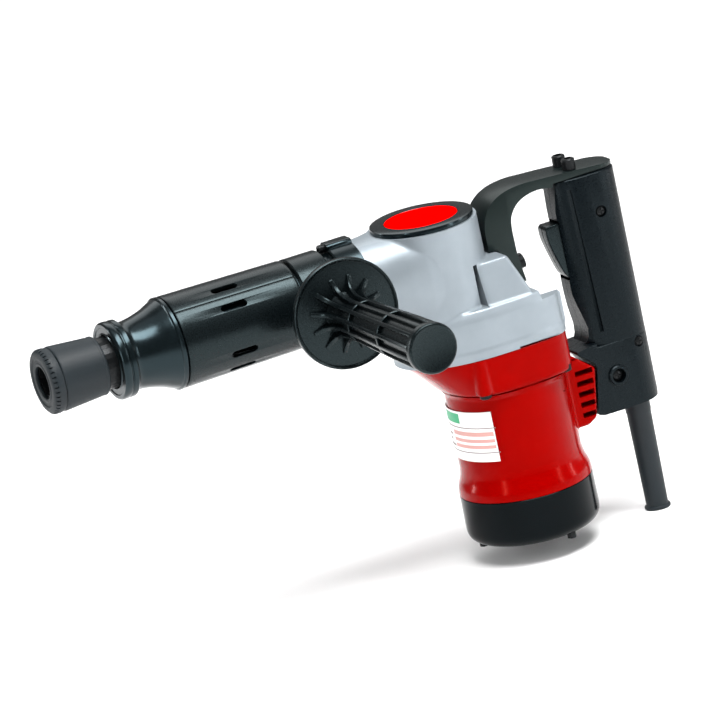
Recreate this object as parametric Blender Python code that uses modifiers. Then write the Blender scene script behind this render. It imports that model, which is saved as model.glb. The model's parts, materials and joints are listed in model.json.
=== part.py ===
"""A 17 mm hex demolition hammer: barrel along -X, side grip towards -Y, motor hanging along -Z.

The origin is the centre of the motor end cap's flat bottom. Sizes below are millimetres, and
every piece is made in metres.
"""

import math

import bmesh
import bpy
from mathutils import Matrix, Vector

MM = 0.001

# Overall places
BARREL_Z = 188.0  # height of the barrel axis over the motor end cap's bottom
NOSE_X = -301.0  # front face of the dust cap
CRANK_X = -33.5  # crank axis, parallel to the motor axis
HANDLE_REAR_X = 100.0
GAP = 0.3  # between pieces that touch
ROUND = 32  # facets of a large round piece
SMALL = 24  # facets of a small one

# Bit end
CAP_LENGTH = 8.0
CAP_R = 20.8
CAP_HOLE_R = 10.5
CAP_WALL = 2.6
SLEEVE_LENGTH = 30.2
SLEEVE_REAR_R = 18.9
SLEEVE_TRAVEL = 7.0
SLEEVE_RAMP = (8.5, 2.9)  # the ramp that lifts the roller: its length and its rise
HOLDER_FRONT_R = 14.0
HOLDER_NECK_R = 16.5
HOLDER_FLANGE_R = 22.0
HOLDER_FLANGE = 6.5
HEX_FLATS = 17.0
HEX_CLEARANCE = 0.3
ROLLER_R = 3.5
ROLLER_LENGTH = 8.0
ROLLER_BITE = 2.3  # how far the locked roller stands into the socket
SPRING_WIRE_R = 0.55
SPRING_TURNS = 4.5

# Barrel
COLLAR_R = 24.9
WAIST_R = 21.8
NOSE_CONE_LENGTH = 40.8
COVER_LENGTH = 83.1
COVER_FRONT_R = 29.7
COVER_REAR_R = 28.5
COVER_WALL = 3.0
COVER_SEAM_DEG = 40.0  # the halves part on a plane this far from upright, towards the grip
SEAM_GAP_DEG = 1.0
SLOT_LENGTH = 17.5
SLOT_WIDTH = 4.8
SLOT_FROM_SEAM_DEG = (14.5, 75.5, 104.5, 165.5)
CASE_R = 23.5
CASE_NECK_R = 25.0
FLANGE_R = 28.5
FLANGE_THICK = 17.0
BOSS_R = 33.0
CYLINDER_R = 20.0
BORE_R = 16.0

# Striking train
RUNNING = 0.3  # radial clearance of what slides in the bore
STEM_R = 8.9
BOLT_HEAD_R = 12.6
BOLT_TRAVEL = 5.5
STRIKER_LENGTH = 38.4
PISTON_LENGTH = 48.0
PISTON_WALL = 3.7
CROWN = 8.5
SEAL_R = 1.0
GROOVE_DEPTH = 2.3
GROOVE_WIDTH = 3.2
CRANK_THROW = 13.0
ROD_LENGTH = 58.0
WRIST_PIN_R = 4.0
CRANK_PIN_R = 5.0
ROD_HALF_THICK = 6.5

# Crank and gears
GEAR_TEETH = 54
PINION_TEETH = 7
GEAR_LOW_Z = 141.0
GEAR_THICK = 11.0
CRANK_SHAFT_R = 8.2
CRANK_DISC_R = 20.5
CRANK_DISC_THICK = 10.2
BEARING_UP_R = 17.4
BEARING_LOW_R = 13.0

# Gear housing
PARTING_Z = 127.0  # where the aluminium housing meets the motor housing
HOUSING_R = 34.8  # round part over the crank
HOUSING_TOP_Z = 213.0
GEAR_ROOM_R = 32.0
CRANK_ROOM_R = 30.5
CRANK_FLOOR_Z = 168.8
CAP_RIM_R = 33.0
CAP_TOP_Z = 216.4
BADGE_R = 23.3
SHOULDER_HALF = 28.0
SHOULDER_TOP_Z = 184.0
SKIRT_HALF_WIDTH = 40.5
SKIRT_FRONT_X = -68.8
SKIRT_REAR_X = 38.0
SKIRT_CENTRE_X = -12.0
SCREW_SPOTS = ((-29.0, -36.0), (-29.0, 36.0), (29.2, -31.2), (29.2, 31.2))
SCREW_R = 2.0
SCREW_HEAD_R = 4.0
SCREW_SEAT_Z = 112.0  # the roof of each screw's pocket, in the motor housing
SCREW_TOP_Z = 137.0

# Motor
MOTOR_R = 39.3
MOTOR_BORE_R = 35.8
END_CAP_R = 42.9
END_CAP_HEIGHT = 30.7
SHAFT_R = 5.0
TAIL_R = 4.0
CORE_R = 23.5
CORE_LOW_Z, CORE_HIGH_Z = 50.0, 95.0
COMMUTATOR_R = 13.5
BRUSH_Z = 35.0
FAN_R = 33.0
FAN_BLADES = 9
VENT_REAR_X = 60.0
VENT_LOW_Z, VENT_HIGH_Z = 57.0, 103.0
VENT_HALF = 17.0
VENT_SLOTS = 5
LABEL_LOW_Z, LABEL_HIGH_Z = 57.7, 90.5
LABEL_HALF_DEG = 55.0

# Handle
HANDLE_HALF = 16.0
HANDLE_WALL = 3.3
HANDLE_LOW_Z = 60.0
HANDLE_TOP_Z = 214.5
ARM_HALF = 13.0
TRIGGER_HALF = 6.5
TRIGGER_PIVOT = (58.5, 154.0)
SWITCH_X = (68.0, 88.0)
GUARD_X = 85.5
GUARD_LOW_Z = -13.6
GUARD_TOP_R = 8.2
GUARD_LOW_R = 7.0
GUARD_BORE_R = 3.6

# Side grip, along -Y
GRIP_X = -117.5
BAND_WIDTH = 22.0
BAND_WALL = 3.0
BLOCK_OUT = 44.0
GUARD_DISC_AT = 54.0
GUARD_DISC_R = 35.2
GRIP_END = 189.0
GRIP_R = 16.0
ROD_R = 5.0

COLLECTION = None
CUTTERS = None


def new_collection(name):
    made = bpy.data.collections.new(name)
    bpy.context.scene.collection.children.link(made)
    return made


def finish(name, colour, roughness, metallic=0.0):
    """A plain material with one colour, roughness and metallic value."""
    material = bpy.data.materials.new(name)
    material.use_nodes = True
    shader = material.node_tree.nodes["Principled BSDF"]
    shader.inputs["Base Color"].default_value = (*colour, 1.0)
    shader.inputs["Roughness"].default_value = roughness
    shader.inputs["Metallic"].default_value = metallic
    material.diffuse_color = (*colour, 1.0)
    return material


def add_object(name, data, material):
    obj = bpy.data.objects.new(name, data)
    COLLECTION.objects.link(obj)
    if material:
        data.materials.append(material)
    return obj


def place(obj, centre, axis):
    """Stands the piece's own Z along Z, along X, or along -Y, at a centre in millimetres."""
    obj.location = Vector(centre) * MM
    if axis == "X":
        obj.rotation_euler = (0.0, math.radians(90.0), 0.0)
    elif axis == "Y":
        obj.rotation_euler = (math.radians(90.0), 0.0, 0.0)
    return obj


def smooth(obj):
    if obj.type == "MESH":
        obj.data.shade_smooth()
        obj.data.set_sharp_from_angle(angle=math.radians(35.0))


def turned(name, profile, material, centre=(0.0, 0.0, 0.0), axis="Z", facets=SMALL, closed=False, sweep=360.0):
    """A turned piece from (radius, height) points that run down its outer side."""
    mesh = bpy.data.meshes.new(name)
    edges = [(i, i + 1) for i in range(len(profile) - 1)]
    if closed:
        edges.append((len(profile) - 1, 0))
    mesh.from_pydata([(r * MM, 0.0, h * MM) for r, h in profile], edges, [])
    obj = place(add_object(name, mesh, material), centre, axis)
    screw = obj.modifiers.new("turn", "SCREW")
    screw.angle = math.radians(sweep)
    screw.steps = facets
    screw.render_steps = facets
    screw.use_merge_vertices = True
    screw.merge_threshold = 0.00001
    screw.use_smooth_shade = True
    return obj


def ring(name, inner, outer, low, high, material, centre=(0.0, 0.0, 0.0), axis="Z", facets=SMALL):
    profile = [(inner, high), (outer, high), (outer, low), (inner, low)]
    return turned(name, profile, material, centre, axis, facets, closed=True)


def rod(name, radius, low, high, material, centre=(0.0, 0.0, 0.0), axis="Z", facets=SMALL):
    profile = [(0.0, high), (radius, high), (radius, low), (0.0, low)]
    return turned(name, profile, material, centre, axis, facets)


def plate(name, outlines, low, high, material, axis="Z"):
    """A flat outline with any holes, in (x, y) for axis Z, (x, z) for axis Y or (-z, y) for axis X."""
    curve = bpy.data.curves.new(name, "CURVE")
    curve.dimensions = "2D"
    curve.fill_mode = "BOTH"
    curve.extrude = (high - low) / 2 * MM
    for outline in outlines:
        spline = curve.splines.new("POLY")
        spline.points.add(len(outline) - 1)
        for point, (u, v) in zip(spline.points, outline):
            point.co = (u * MM, v * MM, 0.0, 1.0)
        spline.use_cyclic_u = True
    middle = (high + low) / 2
    centre = {"Z": (0.0, 0.0, middle), "Y": (0.0, middle, 0.0), "X": (middle, 0.0, 0.0)}[axis]
    return place(add_object(name, curve, material), centre, axis)


def as_mesh(obj):
    """The curve's evaluated shape as a mesh object, with its caps welded on."""
    bpy.context.view_layer.update()
    graph = bpy.context.evaluated_depsgraph_get()
    mesh = bpy.data.meshes.new_from_object(obj.evaluated_get(graph))
    work = bmesh.new()
    work.from_mesh(mesh)
    bmesh.ops.remove_doubles(work, verts=work.verts, dist=0.000001)
    work.to_mesh(mesh)
    work.free()
    name = obj.name
    matrix = obj.matrix_world.copy()
    bpy.data.objects.remove(obj)
    made = bpy.data.objects.new(name, mesh)
    mesh.name = name
    made.matrix_world = matrix
    COLLECTION.objects.link(made)
    return made


def block(name, low, high, material):
    """A box between two corners, in millimetres."""
    mesh = bpy.data.meshes.new(name)
    work = bmesh.new()
    bmesh.ops.create_cube(work, size=1.0)
    size = Vector(high) - Vector(low)
    bmesh.ops.scale(work, vec=size * MM, verts=work.verts)
    bmesh.ops.translate(work, vec=(Vector(low) + Vector(high)) / 2 * MM, verts=work.verts)
    work.to_mesh(mesh)
    work.free()
    return add_object(name, mesh, material)


def blocks(name, boxes, material):
    """Several boxes that don't meet, as one mesh."""
    mesh = bpy.data.meshes.new(name)
    work = bmesh.new()
    for low, high in boxes:
        made = bmesh.ops.create_cube(work, size=1.0)["verts"]
        bmesh.ops.scale(work, vec=(Vector(high) - Vector(low)) * MM, verts=made)
        bmesh.ops.translate(work, vec=(Vector(low) + Vector(high)) / 2 * MM, verts=made)
    work.to_mesh(mesh)
    work.free()
    return add_object(name, mesh, material)


def loft(name, sections, material):
    """A solid through rings of equal point counts: each section is a height and its (x, y) points."""
    mesh = bpy.data.meshes.new(name)
    work = bmesh.new()
    rings = [[work.verts.new((x * MM, y * MM, z * MM)) for x, y in points] for z, points in sections]
    for lower, upper in zip(rings, rings[1:]):
        for i in range(len(lower)):
            j = (i + 1) % len(lower)
            work.faces.new((lower[i], lower[j], upper[j], upper[i]))
    work.faces.new(reversed(rings[0]))
    work.faces.new(rings[-1])
    bmesh.ops.recalc_face_normals(work, faces=work.faces)
    work.to_mesh(mesh)
    work.free()
    return add_object(name, mesh, material)


def combine(target, helper, operation):
    """Joins or cuts with a helper, which is hidden in the cutters' collection."""
    COLLECTION.objects.unlink(helper)
    CUTTERS.objects.link(helper)
    helper.hide_render = True
    helper.display_type = "WIRE"
    modifier = target.modifiers.new(operation.lower(), "BOOLEAN")
    modifier.operation = operation
    modifier.object = helper
    modifier.solver = "EXACT"


def join(target, helper):
    combine(target, helper, "UNION")


def cut(target, helper):
    combine(target, helper, "DIFFERENCE")


def arc(cx, cy, radius, start, end, count):
    """Points on an arc, with angles in degrees."""
    angles = [math.radians(start + (end - start) * i / count) for i in range(count + 1)]
    return [(cx + radius * math.cos(a), cy + radius * math.sin(a)) for a in angles]


def circle(cx, cy, radius, count=SMALL):
    return arc(cx, cy, radius, 0.0, 360.0, count)[:-1]


def capsule(cx1, r1, cx2, r2, count=12):
    """The outline around two circles on the X axis, the first one in front."""
    lean = math.degrees(math.asin((r1 - r2) / (cx2 - cx1)))
    front = arc(cx1, 0.0, r1, 90.0 - lean, 270.0 + lean, count)
    rear = arc(cx2, 0.0, r2, -90.0 + lean, 90.0 - lean, count)
    return front + rear


def skirt_outline(scale=1.0, count=40):
    """The housings' common outline: rounded in front over the crank, squarer behind."""
    points = []
    for i in range(count):
        angle = 2 * math.pi * i / count
        power = 4.5 if math.cos(angle) > 0 else 2.2
        reach = SKIRT_REAR_X - SKIRT_CENTRE_X if math.cos(angle) > 0 else SKIRT_CENTRE_X - SKIRT_FRONT_X
        u = math.copysign(abs(math.cos(angle)) ** (2 / power), math.cos(angle))
        v = math.copysign(abs(math.sin(angle)) ** (2 / power), math.sin(angle))
        points.append((SKIRT_CENTRE_X + reach * u * scale, SKIRT_HALF_WIDTH * v * scale))
    return points


def tooth_outline(teeth, pitch_r, add, deduct, tip_half, root_half, turn=0.0):
    """A gear's outline with straight-sided teeth, the first one at the angle turn."""
    points = []
    for i in range(teeth):
        middle = turn + 2 * math.pi * i / teeth
        tip_r = pitch_r + add
        root_r = pitch_r - deduct
        for r, half in ((root_r, -root_half), (tip_r, -tip_half), (tip_r, tip_half), (root_r, root_half)):
            angle = middle + half / r
            points.append((r * math.cos(angle), r * math.sin(angle)))
    return points


def moved(points, dx, dy=0.0):
    return [(x + dx, y + dy) for x, y in points]


def helix(name, centre, axis_vector, radius, length, turns, wire, material, steps=12):
    """A coil spring of round wire along the given axis, from the centre."""
    along = Vector(axis_vector).normalized()
    side = along.orthogonal().normalized()
    up = along.cross(side)
    curve = bpy.data.curves.new(name, "CURVE")
    curve.dimensions = "3D"
    curve.bevel_depth = wire * MM
    curve.bevel_resolution = 1
    curve.use_fill_caps = True
    count = int(turns * steps)
    spline = curve.splines.new("POLY")
    spline.points.add(count)
    for i, point in enumerate(spline.points):
        angle = 2 * math.pi * i / steps
        spot = Vector(centre) + along * (length * i / count)
        spot += (side * math.cos(angle) + up * math.sin(angle)) * radius
        point.co = (*(spot * MM), 1.0)
    return add_object(name, curve, material)


def barrel_piece(name, profile, material, facets=ROUND, closed=False):
    """A turned piece on the barrel axis, whose heights are places along X."""
    return turned(name, profile, material, (0.0, 0.0, BARREL_Z), "X", facets, closed)


# Places along the barrel, front to rear
CAP_REAR = NOSE_X + CAP_LENGTH
HOLDER_FRONT = NOSE_X + CAP_WALL + GAP
SLEEVE_FRONT = CAP_REAR + GAP
SLEEVE_REAR = SLEEVE_FRONT + SLEEVE_LENGTH
CONE_FRONT = SLEEVE_REAR + SLEEVE_TRAVEL + GAP
CONE_REAR = CONE_FRONT + NOSE_CONE_LENGTH
COVER_FRONT = CONE_REAR + 2 * GAP
COVER_REAR = COVER_FRONT + COVER_LENGTH
BAND_FRONT = GRIP_X - BAND_WIDTH / 2
BAND_REAR = GRIP_X + BAND_WIDTH / 2
FLANGE_FRONT = BAND_REAR + 5.5
FLANGE_REAR = FLANGE_FRONT + FLANGE_THICK
NECK_SHOULDER = SLEEVE_REAR - 1.5
ROLLER_X = SLEEVE_FRONT + 11.2
RAMP_REAR = ROLLER_X + 0.5
LAND_REAR = ROLLER_X + 2.5
SOCKET_REAR = CONE_FRONT + 15.2
HOLDER_FLANGE_FRONT = CONE_REAR + 2.7
HOLDER_REAR = HOLDER_FLANGE_FRONT + HOLDER_FLANGE
HEAD_ROOM_FRONT = HOLDER_REAR - 14.0
CYLINDER_FRONT = HOLDER_REAR + 1.0
DAMPER_FRONT = CYLINDER_FRONT + 8.0
DAMPER_THICK = 3.5
BORE_FRONT = DAMPER_FRONT + DAMPER_THICK + GAP
STRIKER_FRONT = BORE_FRONT + 3.7
STRIKER_REAR = STRIKER_FRONT + STRIKER_LENGTH
CRANK_PIN_X = CRANK_X + CRANK_THROW
WRIST_X = CRANK_PIN_X - ROD_LENGTH
CROWN_X = WRIST_X - 31.0
PISTON_REAR = CROWN_X + PISTON_LENGTH
CYLINDER_REAR = CRANK_X - CRANK_ROOM_R - 2.5


def bit_end(rubber, steel, spring_steel):
    """The dust cap, release sleeve, its spring, the tool holder and the roller that locks the bit."""
    barrel_piece("dust_cap", [
        (HOLDER_FRONT_R + GAP, CAP_REAR), (CAP_R - 0.3, CAP_REAR), (CAP_R, NOSE_X + 2.6), (CAP_R - 2.4, NOSE_X),
        (CAP_HOLE_R, NOSE_X), (CAP_HOLE_R, NOSE_X + CAP_WALL), (HOLDER_FRONT_R + GAP, NOSE_X + CAP_WALL),
    ], rubber, closed=True)
    recess_r = HOLDER_NECK_R + 0.4
    land_r = HOLDER_FRONT_R + GAP
    ramp_length, ramp_rise = SLEEVE_RAMP
    barrel_piece("release_sleeve", [
        (recess_r, SLEEVE_REAR), (SLEEVE_REAR_R - 0.6, SLEEVE_REAR), (SLEEVE_REAR_R, SLEEVE_REAR - 1.2),
        (CAP_R, SLEEVE_FRONT), (land_r + ramp_rise, SLEEVE_FRONT), (land_r + ramp_rise, RAMP_REAR - ramp_length),
        (land_r, RAMP_REAR), (land_r, LAND_REAR), (recess_r, LAND_REAR),
    ], rubber, closed=True)
    spring_room = NECK_SHOULDER - LAND_REAR
    helix("sleeve_spring", (LAND_REAR + GAP + SPRING_WIRE_R, 0.0, BARREL_Z), (1.0, 0.0, 0.0),
          (HOLDER_FRONT_R + recess_r) / 2, spring_room - 2 * (GAP + SPRING_WIRE_R), SPRING_TURNS,
          SPRING_WIRE_R, spring_steel)
    holder = barrel_piece("tool_holder", [
        (0.0, SOCKET_REAR), (STEM_R + 0.5, SOCKET_REAR), (STEM_R + 0.5, HEAD_ROOM_FRONT),
        (BOLT_HEAD_R + 0.4, HEAD_ROOM_FRONT), (BOLT_HEAD_R + 0.4, HOLDER_REAR), (HOLDER_FLANGE_R, HOLDER_REAR),
        (HOLDER_FLANGE_R, HOLDER_FLANGE_FRONT), (HOLDER_NECK_R, HOLDER_FLANGE_FRONT),
        (HOLDER_NECK_R, NECK_SHOULDER), (HOLDER_FRONT_R, NECK_SHOULDER), (HOLDER_FRONT_R, HOLDER_FRONT),
        (0.0, HOLDER_FRONT),
    ], steel)
    flat = HEX_FLATS / 2 + HEX_CLEARANCE
    hex_corner_r = flat / math.cos(math.radians(30.0))
    socket = rod("hex_socket", hex_corner_r, HOLDER_FRONT - 1.0, SOCKET_REAR + 0.5, None,
                 (0.0, 0.0, BARREL_Z), "X", 6)
    socket.rotation_euler = Matrix.Rotation(math.radians(90.0), 3, "Y").to_euler()
    socket.rotation_euler.rotate(Matrix.Rotation(math.radians(30.0), 3, "X"))
    cut(holder, socket)
    slot_half = ROLLER_R + GAP
    cut(holder, block("roller_slot", (ROLLER_X - slot_half, -ROLLER_LENGTH / 2 - 0.4, BARREL_Z + 5.5),
                      (ROLLER_X + slot_half, ROLLER_LENGTH / 2 + 0.4, BARREL_Z + CAP_R), None))
    roller_z = BARREL_Z + flat - ROLLER_BITE + ROLLER_R
    rod("lock_roller", ROLLER_R, -ROLLER_LENGTH / 2, ROLLER_LENGTH / 2, steel, (ROLLER_X, 0.0, roller_z), "Y", 16)


def cover_half(name, start_deg, sweep_deg, material):
    """Half of the barrel's plastic cover, with its oval air slots."""
    outer = [(COVER_REAR_R, COVER_REAR), (COVER_FRONT_R, COVER_FRONT)]
    half = turned(name, outer, material, (0.0, 0.0, BARREL_Z), "X", 20, sweep=sweep_deg)
    # The sweep starts at the piece's own +X, which points down: it is turned to its seam.
    half.rotation_euler.rotate(Matrix.Rotation(math.radians(start_deg), 3, "X"))
    wall = half.modifiers.new("wall", "SOLIDIFY")
    wall.thickness = COVER_WALL * MM
    wall.offset = -1.0
    wall.use_even_offset = True
    return half


def slot_cutter(name, angle_deg):
    """An oval slot through the cover, at an angle from upright, towards the grip."""
    half = (SLOT_LENGTH - SLOT_WIDTH) / 2
    end_r = SLOT_WIDTH / 2
    outline = arc(-half, 0.0, end_r, 90.0, 270.0, 4) + arc(half, 0.0, end_r, -90.0, 90.0, 4)
    slot = as_mesh(plate(name, [outline], COVER_REAR_R - 8.0, COVER_FRONT_R + 4.0, None))
    middle_x = (COVER_FRONT + COVER_REAR) / 2 - 4.0
    reach = (COVER_REAR_R + COVER_FRONT_R) / 2 - 2.0
    turn = Matrix.Rotation(math.radians(angle_deg), 4, "X")
    slot.matrix_world = (Matrix.Translation(Vector((middle_x, 0.0, BARREL_Z)) * MM) @ turn
                         @ Matrix.Translation((0.0, 0.0, reach * MM)))
    return slot


def flange_outline():
    """The case's rear flange: round, with a flat-topped boss at each quarter for its bolt."""
    points = []
    for quarter in range(4):
        middle = 90.0 * quarter
        points += arc(0.0, 0.0, FLANGE_R, middle - 62.0, middle - 28.0, 4)
        for angle, radius in ((-13.0, BOSS_R), (13.0, BOSS_R)):
            turn = math.radians(middle + angle)
            points.append((radius * math.cos(turn), radius * math.sin(turn)))
    return points


def barrel(black_paint, black_plastic, steel, rubber):
    """The nose cone, case, cover and cylinder."""
    nose_profile = [
        (HOLDER_NECK_R + 0.4, CONE_REAR), (COVER_FRONT_R - 0.7, CONE_REAR), (COVER_FRONT_R - 0.7, CONE_REAR - 2.5),
        (28.0, CONE_REAR - 6.0), (26.2, CONE_REAR - 12.0), (23.9, CONE_REAR - 19.0), (22.3, CONE_REAR - 25.0),
        (WAIST_R, CONE_REAR - 29.0), (WAIST_R + 0.6, CONE_FRONT + 8.0), (COLLAR_R, CONE_FRONT + 7.0),
        (COLLAR_R, CONE_FRONT + 1.5), (COLLAR_R - 1.5, CONE_FRONT), (HOLDER_NECK_R + 0.4, CONE_FRONT),
    ]
    barrel_piece("nose_cone", nose_profile, black_paint, closed=True)
    seat_r = HOLDER_FLANGE_R + GAP
    case = barrel_piece("barrel_case", [
        (CYLINDER_R + 0.4, FLANGE_REAR), (CASE_NECK_R, FLANGE_REAR), (CASE_NECK_R, COVER_REAR + 0.5),
        (CASE_R, COVER_REAR + 0.5), (CASE_R, CONE_REAR + GAP), (seat_r, CONE_REAR + GAP),
        (seat_r, HOLDER_REAR + GAP), (CYLINDER_R + 0.4, HOLDER_REAR + GAP),
    ], black_paint, closed=True)
    flange = as_mesh(plate("case_flange", [flange_outline(), circle(0.0, 0.0, CYLINDER_R + 1.5)],
                           FLANGE_FRONT, FLANGE_REAR, None, "X"))
    flange.location.z = BARREL_Z * MM
    join(case, flange)
    for name, seam in (("left", COVER_SEAM_DEG), ("right", COVER_SEAM_DEG + 180.0)):
        half = cover_half(f"barrel_cover_{name}", 180.0 + seam + SEAM_GAP_DEG, 180.0 - 2 * SEAM_GAP_DEG,
                          black_plastic)
        for i, angle in enumerate(SLOT_FROM_SEAM_DEG):
            cut(half, slot_cutter(f"slot_{name}_{i + 1}", seam + angle))
    barrel_piece("cylinder", [
        (BORE_R, CYLINDER_REAR), (CYLINDER_R, CYLINDER_REAR), (CYLINDER_R, CYLINDER_FRONT),
        (BOLT_HEAD_R + 0.3, CYLINDER_FRONT), (BOLT_HEAD_R + 0.3, BORE_FRONT), (BORE_R, BORE_FRONT),
    ], steel, closed=True)
    barrel_piece("impact_damper", [
        (STEM_R + 0.5, DAMPER_FRONT + DAMPER_THICK), (BOLT_HEAD_R, DAMPER_FRONT + DAMPER_THICK),
        (BOLT_HEAD_R, DAMPER_FRONT), (STEM_R + 0.5, DAMPER_FRONT),
    ], rubber, closed=True)


def seal(name, groove_front, material):
    """An O-ring that lies in a groove on a piece that runs in the bore."""
    middle_r = BORE_R - RUNNING - SEAL_R
    middle_x = groove_front + GROOVE_WIDTH / 2
    section = [
        (middle_r + SEAL_R * math.cos(math.radians(a)), middle_x + SEAL_R * math.sin(math.radians(a)))
        for a in (90.0, 30.0, -30.0, -90.0, -150.0, 150.0)
    ]
    barrel_piece(name, section, material, SMALL, closed=True)


def striking_train(steel, aluminium, rubber):
    """The impact bolt, striker, piston, wrist pin and connecting rod with its crank pin."""
    running_r = BORE_R - RUNNING
    groove_r = running_r - GROOVE_DEPTH
    bolt_rear = STRIKER_FRONT - 0.4
    barrel_piece("impact_bolt", [
        (0.0, bolt_rear), (STEM_R, bolt_rear), (STEM_R, DAMPER_FRONT - GAP), (BOLT_HEAD_R - 0.1, DAMPER_FRONT - GAP),
        (BOLT_HEAD_R - 0.1, HEAD_ROOM_FRONT + BOLT_TRAVEL + 1.5), (STEM_R, HEAD_ROOM_FRONT + BOLT_TRAVEL + 0.5),
        (STEM_R, SOCKET_REAR + BOLT_TRAVEL + 0.9), (0.0, SOCKET_REAR + BOLT_TRAVEL + 0.9),
    ], steel, SMALL)
    groove = STRIKER_FRONT + 17.0
    barrel_piece("striker", [
        (0.0, STRIKER_REAR), (running_r, STRIKER_REAR), (running_r, groove + GROOVE_WIDTH),
        (groove_r, groove + GROOVE_WIDTH), (groove_r, groove), (running_r, groove),
        (running_r, STRIKER_FRONT + 4.5), (STEM_R, STRIKER_FRONT), (0.0, STRIKER_FRONT),
    ], steel)
    seal("striker_seal", groove, rubber)
    groove = CROWN_X + 3.4
    inner_r = running_r - PISTON_WALL
    piston = barrel_piece("piston", [
        (0.0, CROWN_X + CROWN), (inner_r, CROWN_X + CROWN), (inner_r, PISTON_REAR), (running_r, PISTON_REAR),
        (running_r, groove + GROOVE_WIDTH), (groove_r, groove + GROOVE_WIDTH), (groove_r, groove),
        (running_r, groove), (running_r, CROWN_X), (0.0, CROWN_X),
    ], aluminium)
    cut(piston, rod("wrist_bore", WRIST_PIN_R + GAP, BARREL_Z - BORE_R - 2, BARREL_Z + BORE_R + 2, None,
                    (WRIST_X, 0.0, 0.0), facets=16))
    seal("piston_seal", groove, rubber)
    pin_half = running_r - 1.5
    rod("wrist_pin", WRIST_PIN_R, BARREL_Z - pin_half, BARREL_Z + pin_half, steel, (WRIST_X, 0.0, 0.0), facets=16)
    small_r = 7.5
    big_r = CRANK_PIN_R + 3.5
    web = 4.5
    lean_small = math.degrees(math.asin(web / small_r))
    lean_big = math.degrees(math.asin(web / big_r))
    outline = arc(WRIST_X, 0.0, small_r, lean_small, 360.0 - lean_small, 14)
    outline += arc(CRANK_PIN_X, 0.0, big_r, 180.0 + lean_big, 540.0 - lean_big, 14)
    holes = [circle(WRIST_X, 0.0, WRIST_PIN_R + GAP, 16), circle(CRANK_PIN_X, 0.0, CRANK_PIN_R + GAP, 16)]
    plate("connecting_rod", [outline, *holes], BARREL_Z - ROD_HALF_THICK, BARREL_Z + ROD_HALF_THICK, steel)
    rod("crank_pin", CRANK_PIN_R, BARREL_Z - ROD_HALF_THICK - 0.6, BARREL_Z + ROD_HALF_THICK + 0.6, steel,
        (CRANK_PIN_X, 0.0, 0.0), facets=16)


MODULE = 2 * abs(CRANK_X) / (GEAR_TEETH + PINION_TEETH)
GEAR_PITCH_R = MODULE * GEAR_TEETH / 2
PINION_PITCH_R = MODULE * PINION_TEETH / 2
DISC_TOP_Z = BARREL_Z - ROD_HALF_THICK - 1.1
DISC_LOW_Z = DISC_TOP_Z - CRANK_DISC_THICK
PLATE_LOW_Z = PARTING_Z + GAP
PLATE_HIGH_Z = GEAR_LOW_Z - 1.7


def crank_train(steel):
    """The crank shaft with its disc, the large gear and the two bearings."""
    centre = (CRANK_X, 0.0, 0.0)
    turned("crank_shaft", [
        (0.0, DISC_TOP_Z), (CRANK_DISC_R, DISC_TOP_Z), (CRANK_DISC_R, DISC_LOW_Z), (CRANK_SHAFT_R, DISC_LOW_Z),
        (CRANK_SHAFT_R, PLATE_LOW_Z + 3.5), (0.0, PLATE_LOW_Z + 3.5),
    ], steel, centre)
    teeth = tooth_outline(GEAR_TEETH, GEAR_PITCH_R, 0.55 * MODULE, 1.05 * MODULE, 0.42, 0.98)
    hole = circle(CRANK_X, 0.0, CRANK_SHAFT_R + 0.4, 20)
    plate("crank_gear", [moved(teeth, CRANK_X), hole], GEAR_LOW_Z, GEAR_LOW_Z + GEAR_THICK, steel)
    bearing_low = GEAR_LOW_Z + GEAR_THICK + 4.5
    ring("crank_bearing_upper", CRANK_SHAFT_R + 0.4, BEARING_UP_R, bearing_low, CRANK_FLOOR_Z - 0.8, steel, centre)
    ring("crank_bearing_lower", CRANK_SHAFT_R + 0.4, BEARING_LOW_R, PLATE_LOW_Z + 3.5, PLATE_HIGH_Z - 0.8,
         steel, centre)


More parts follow.
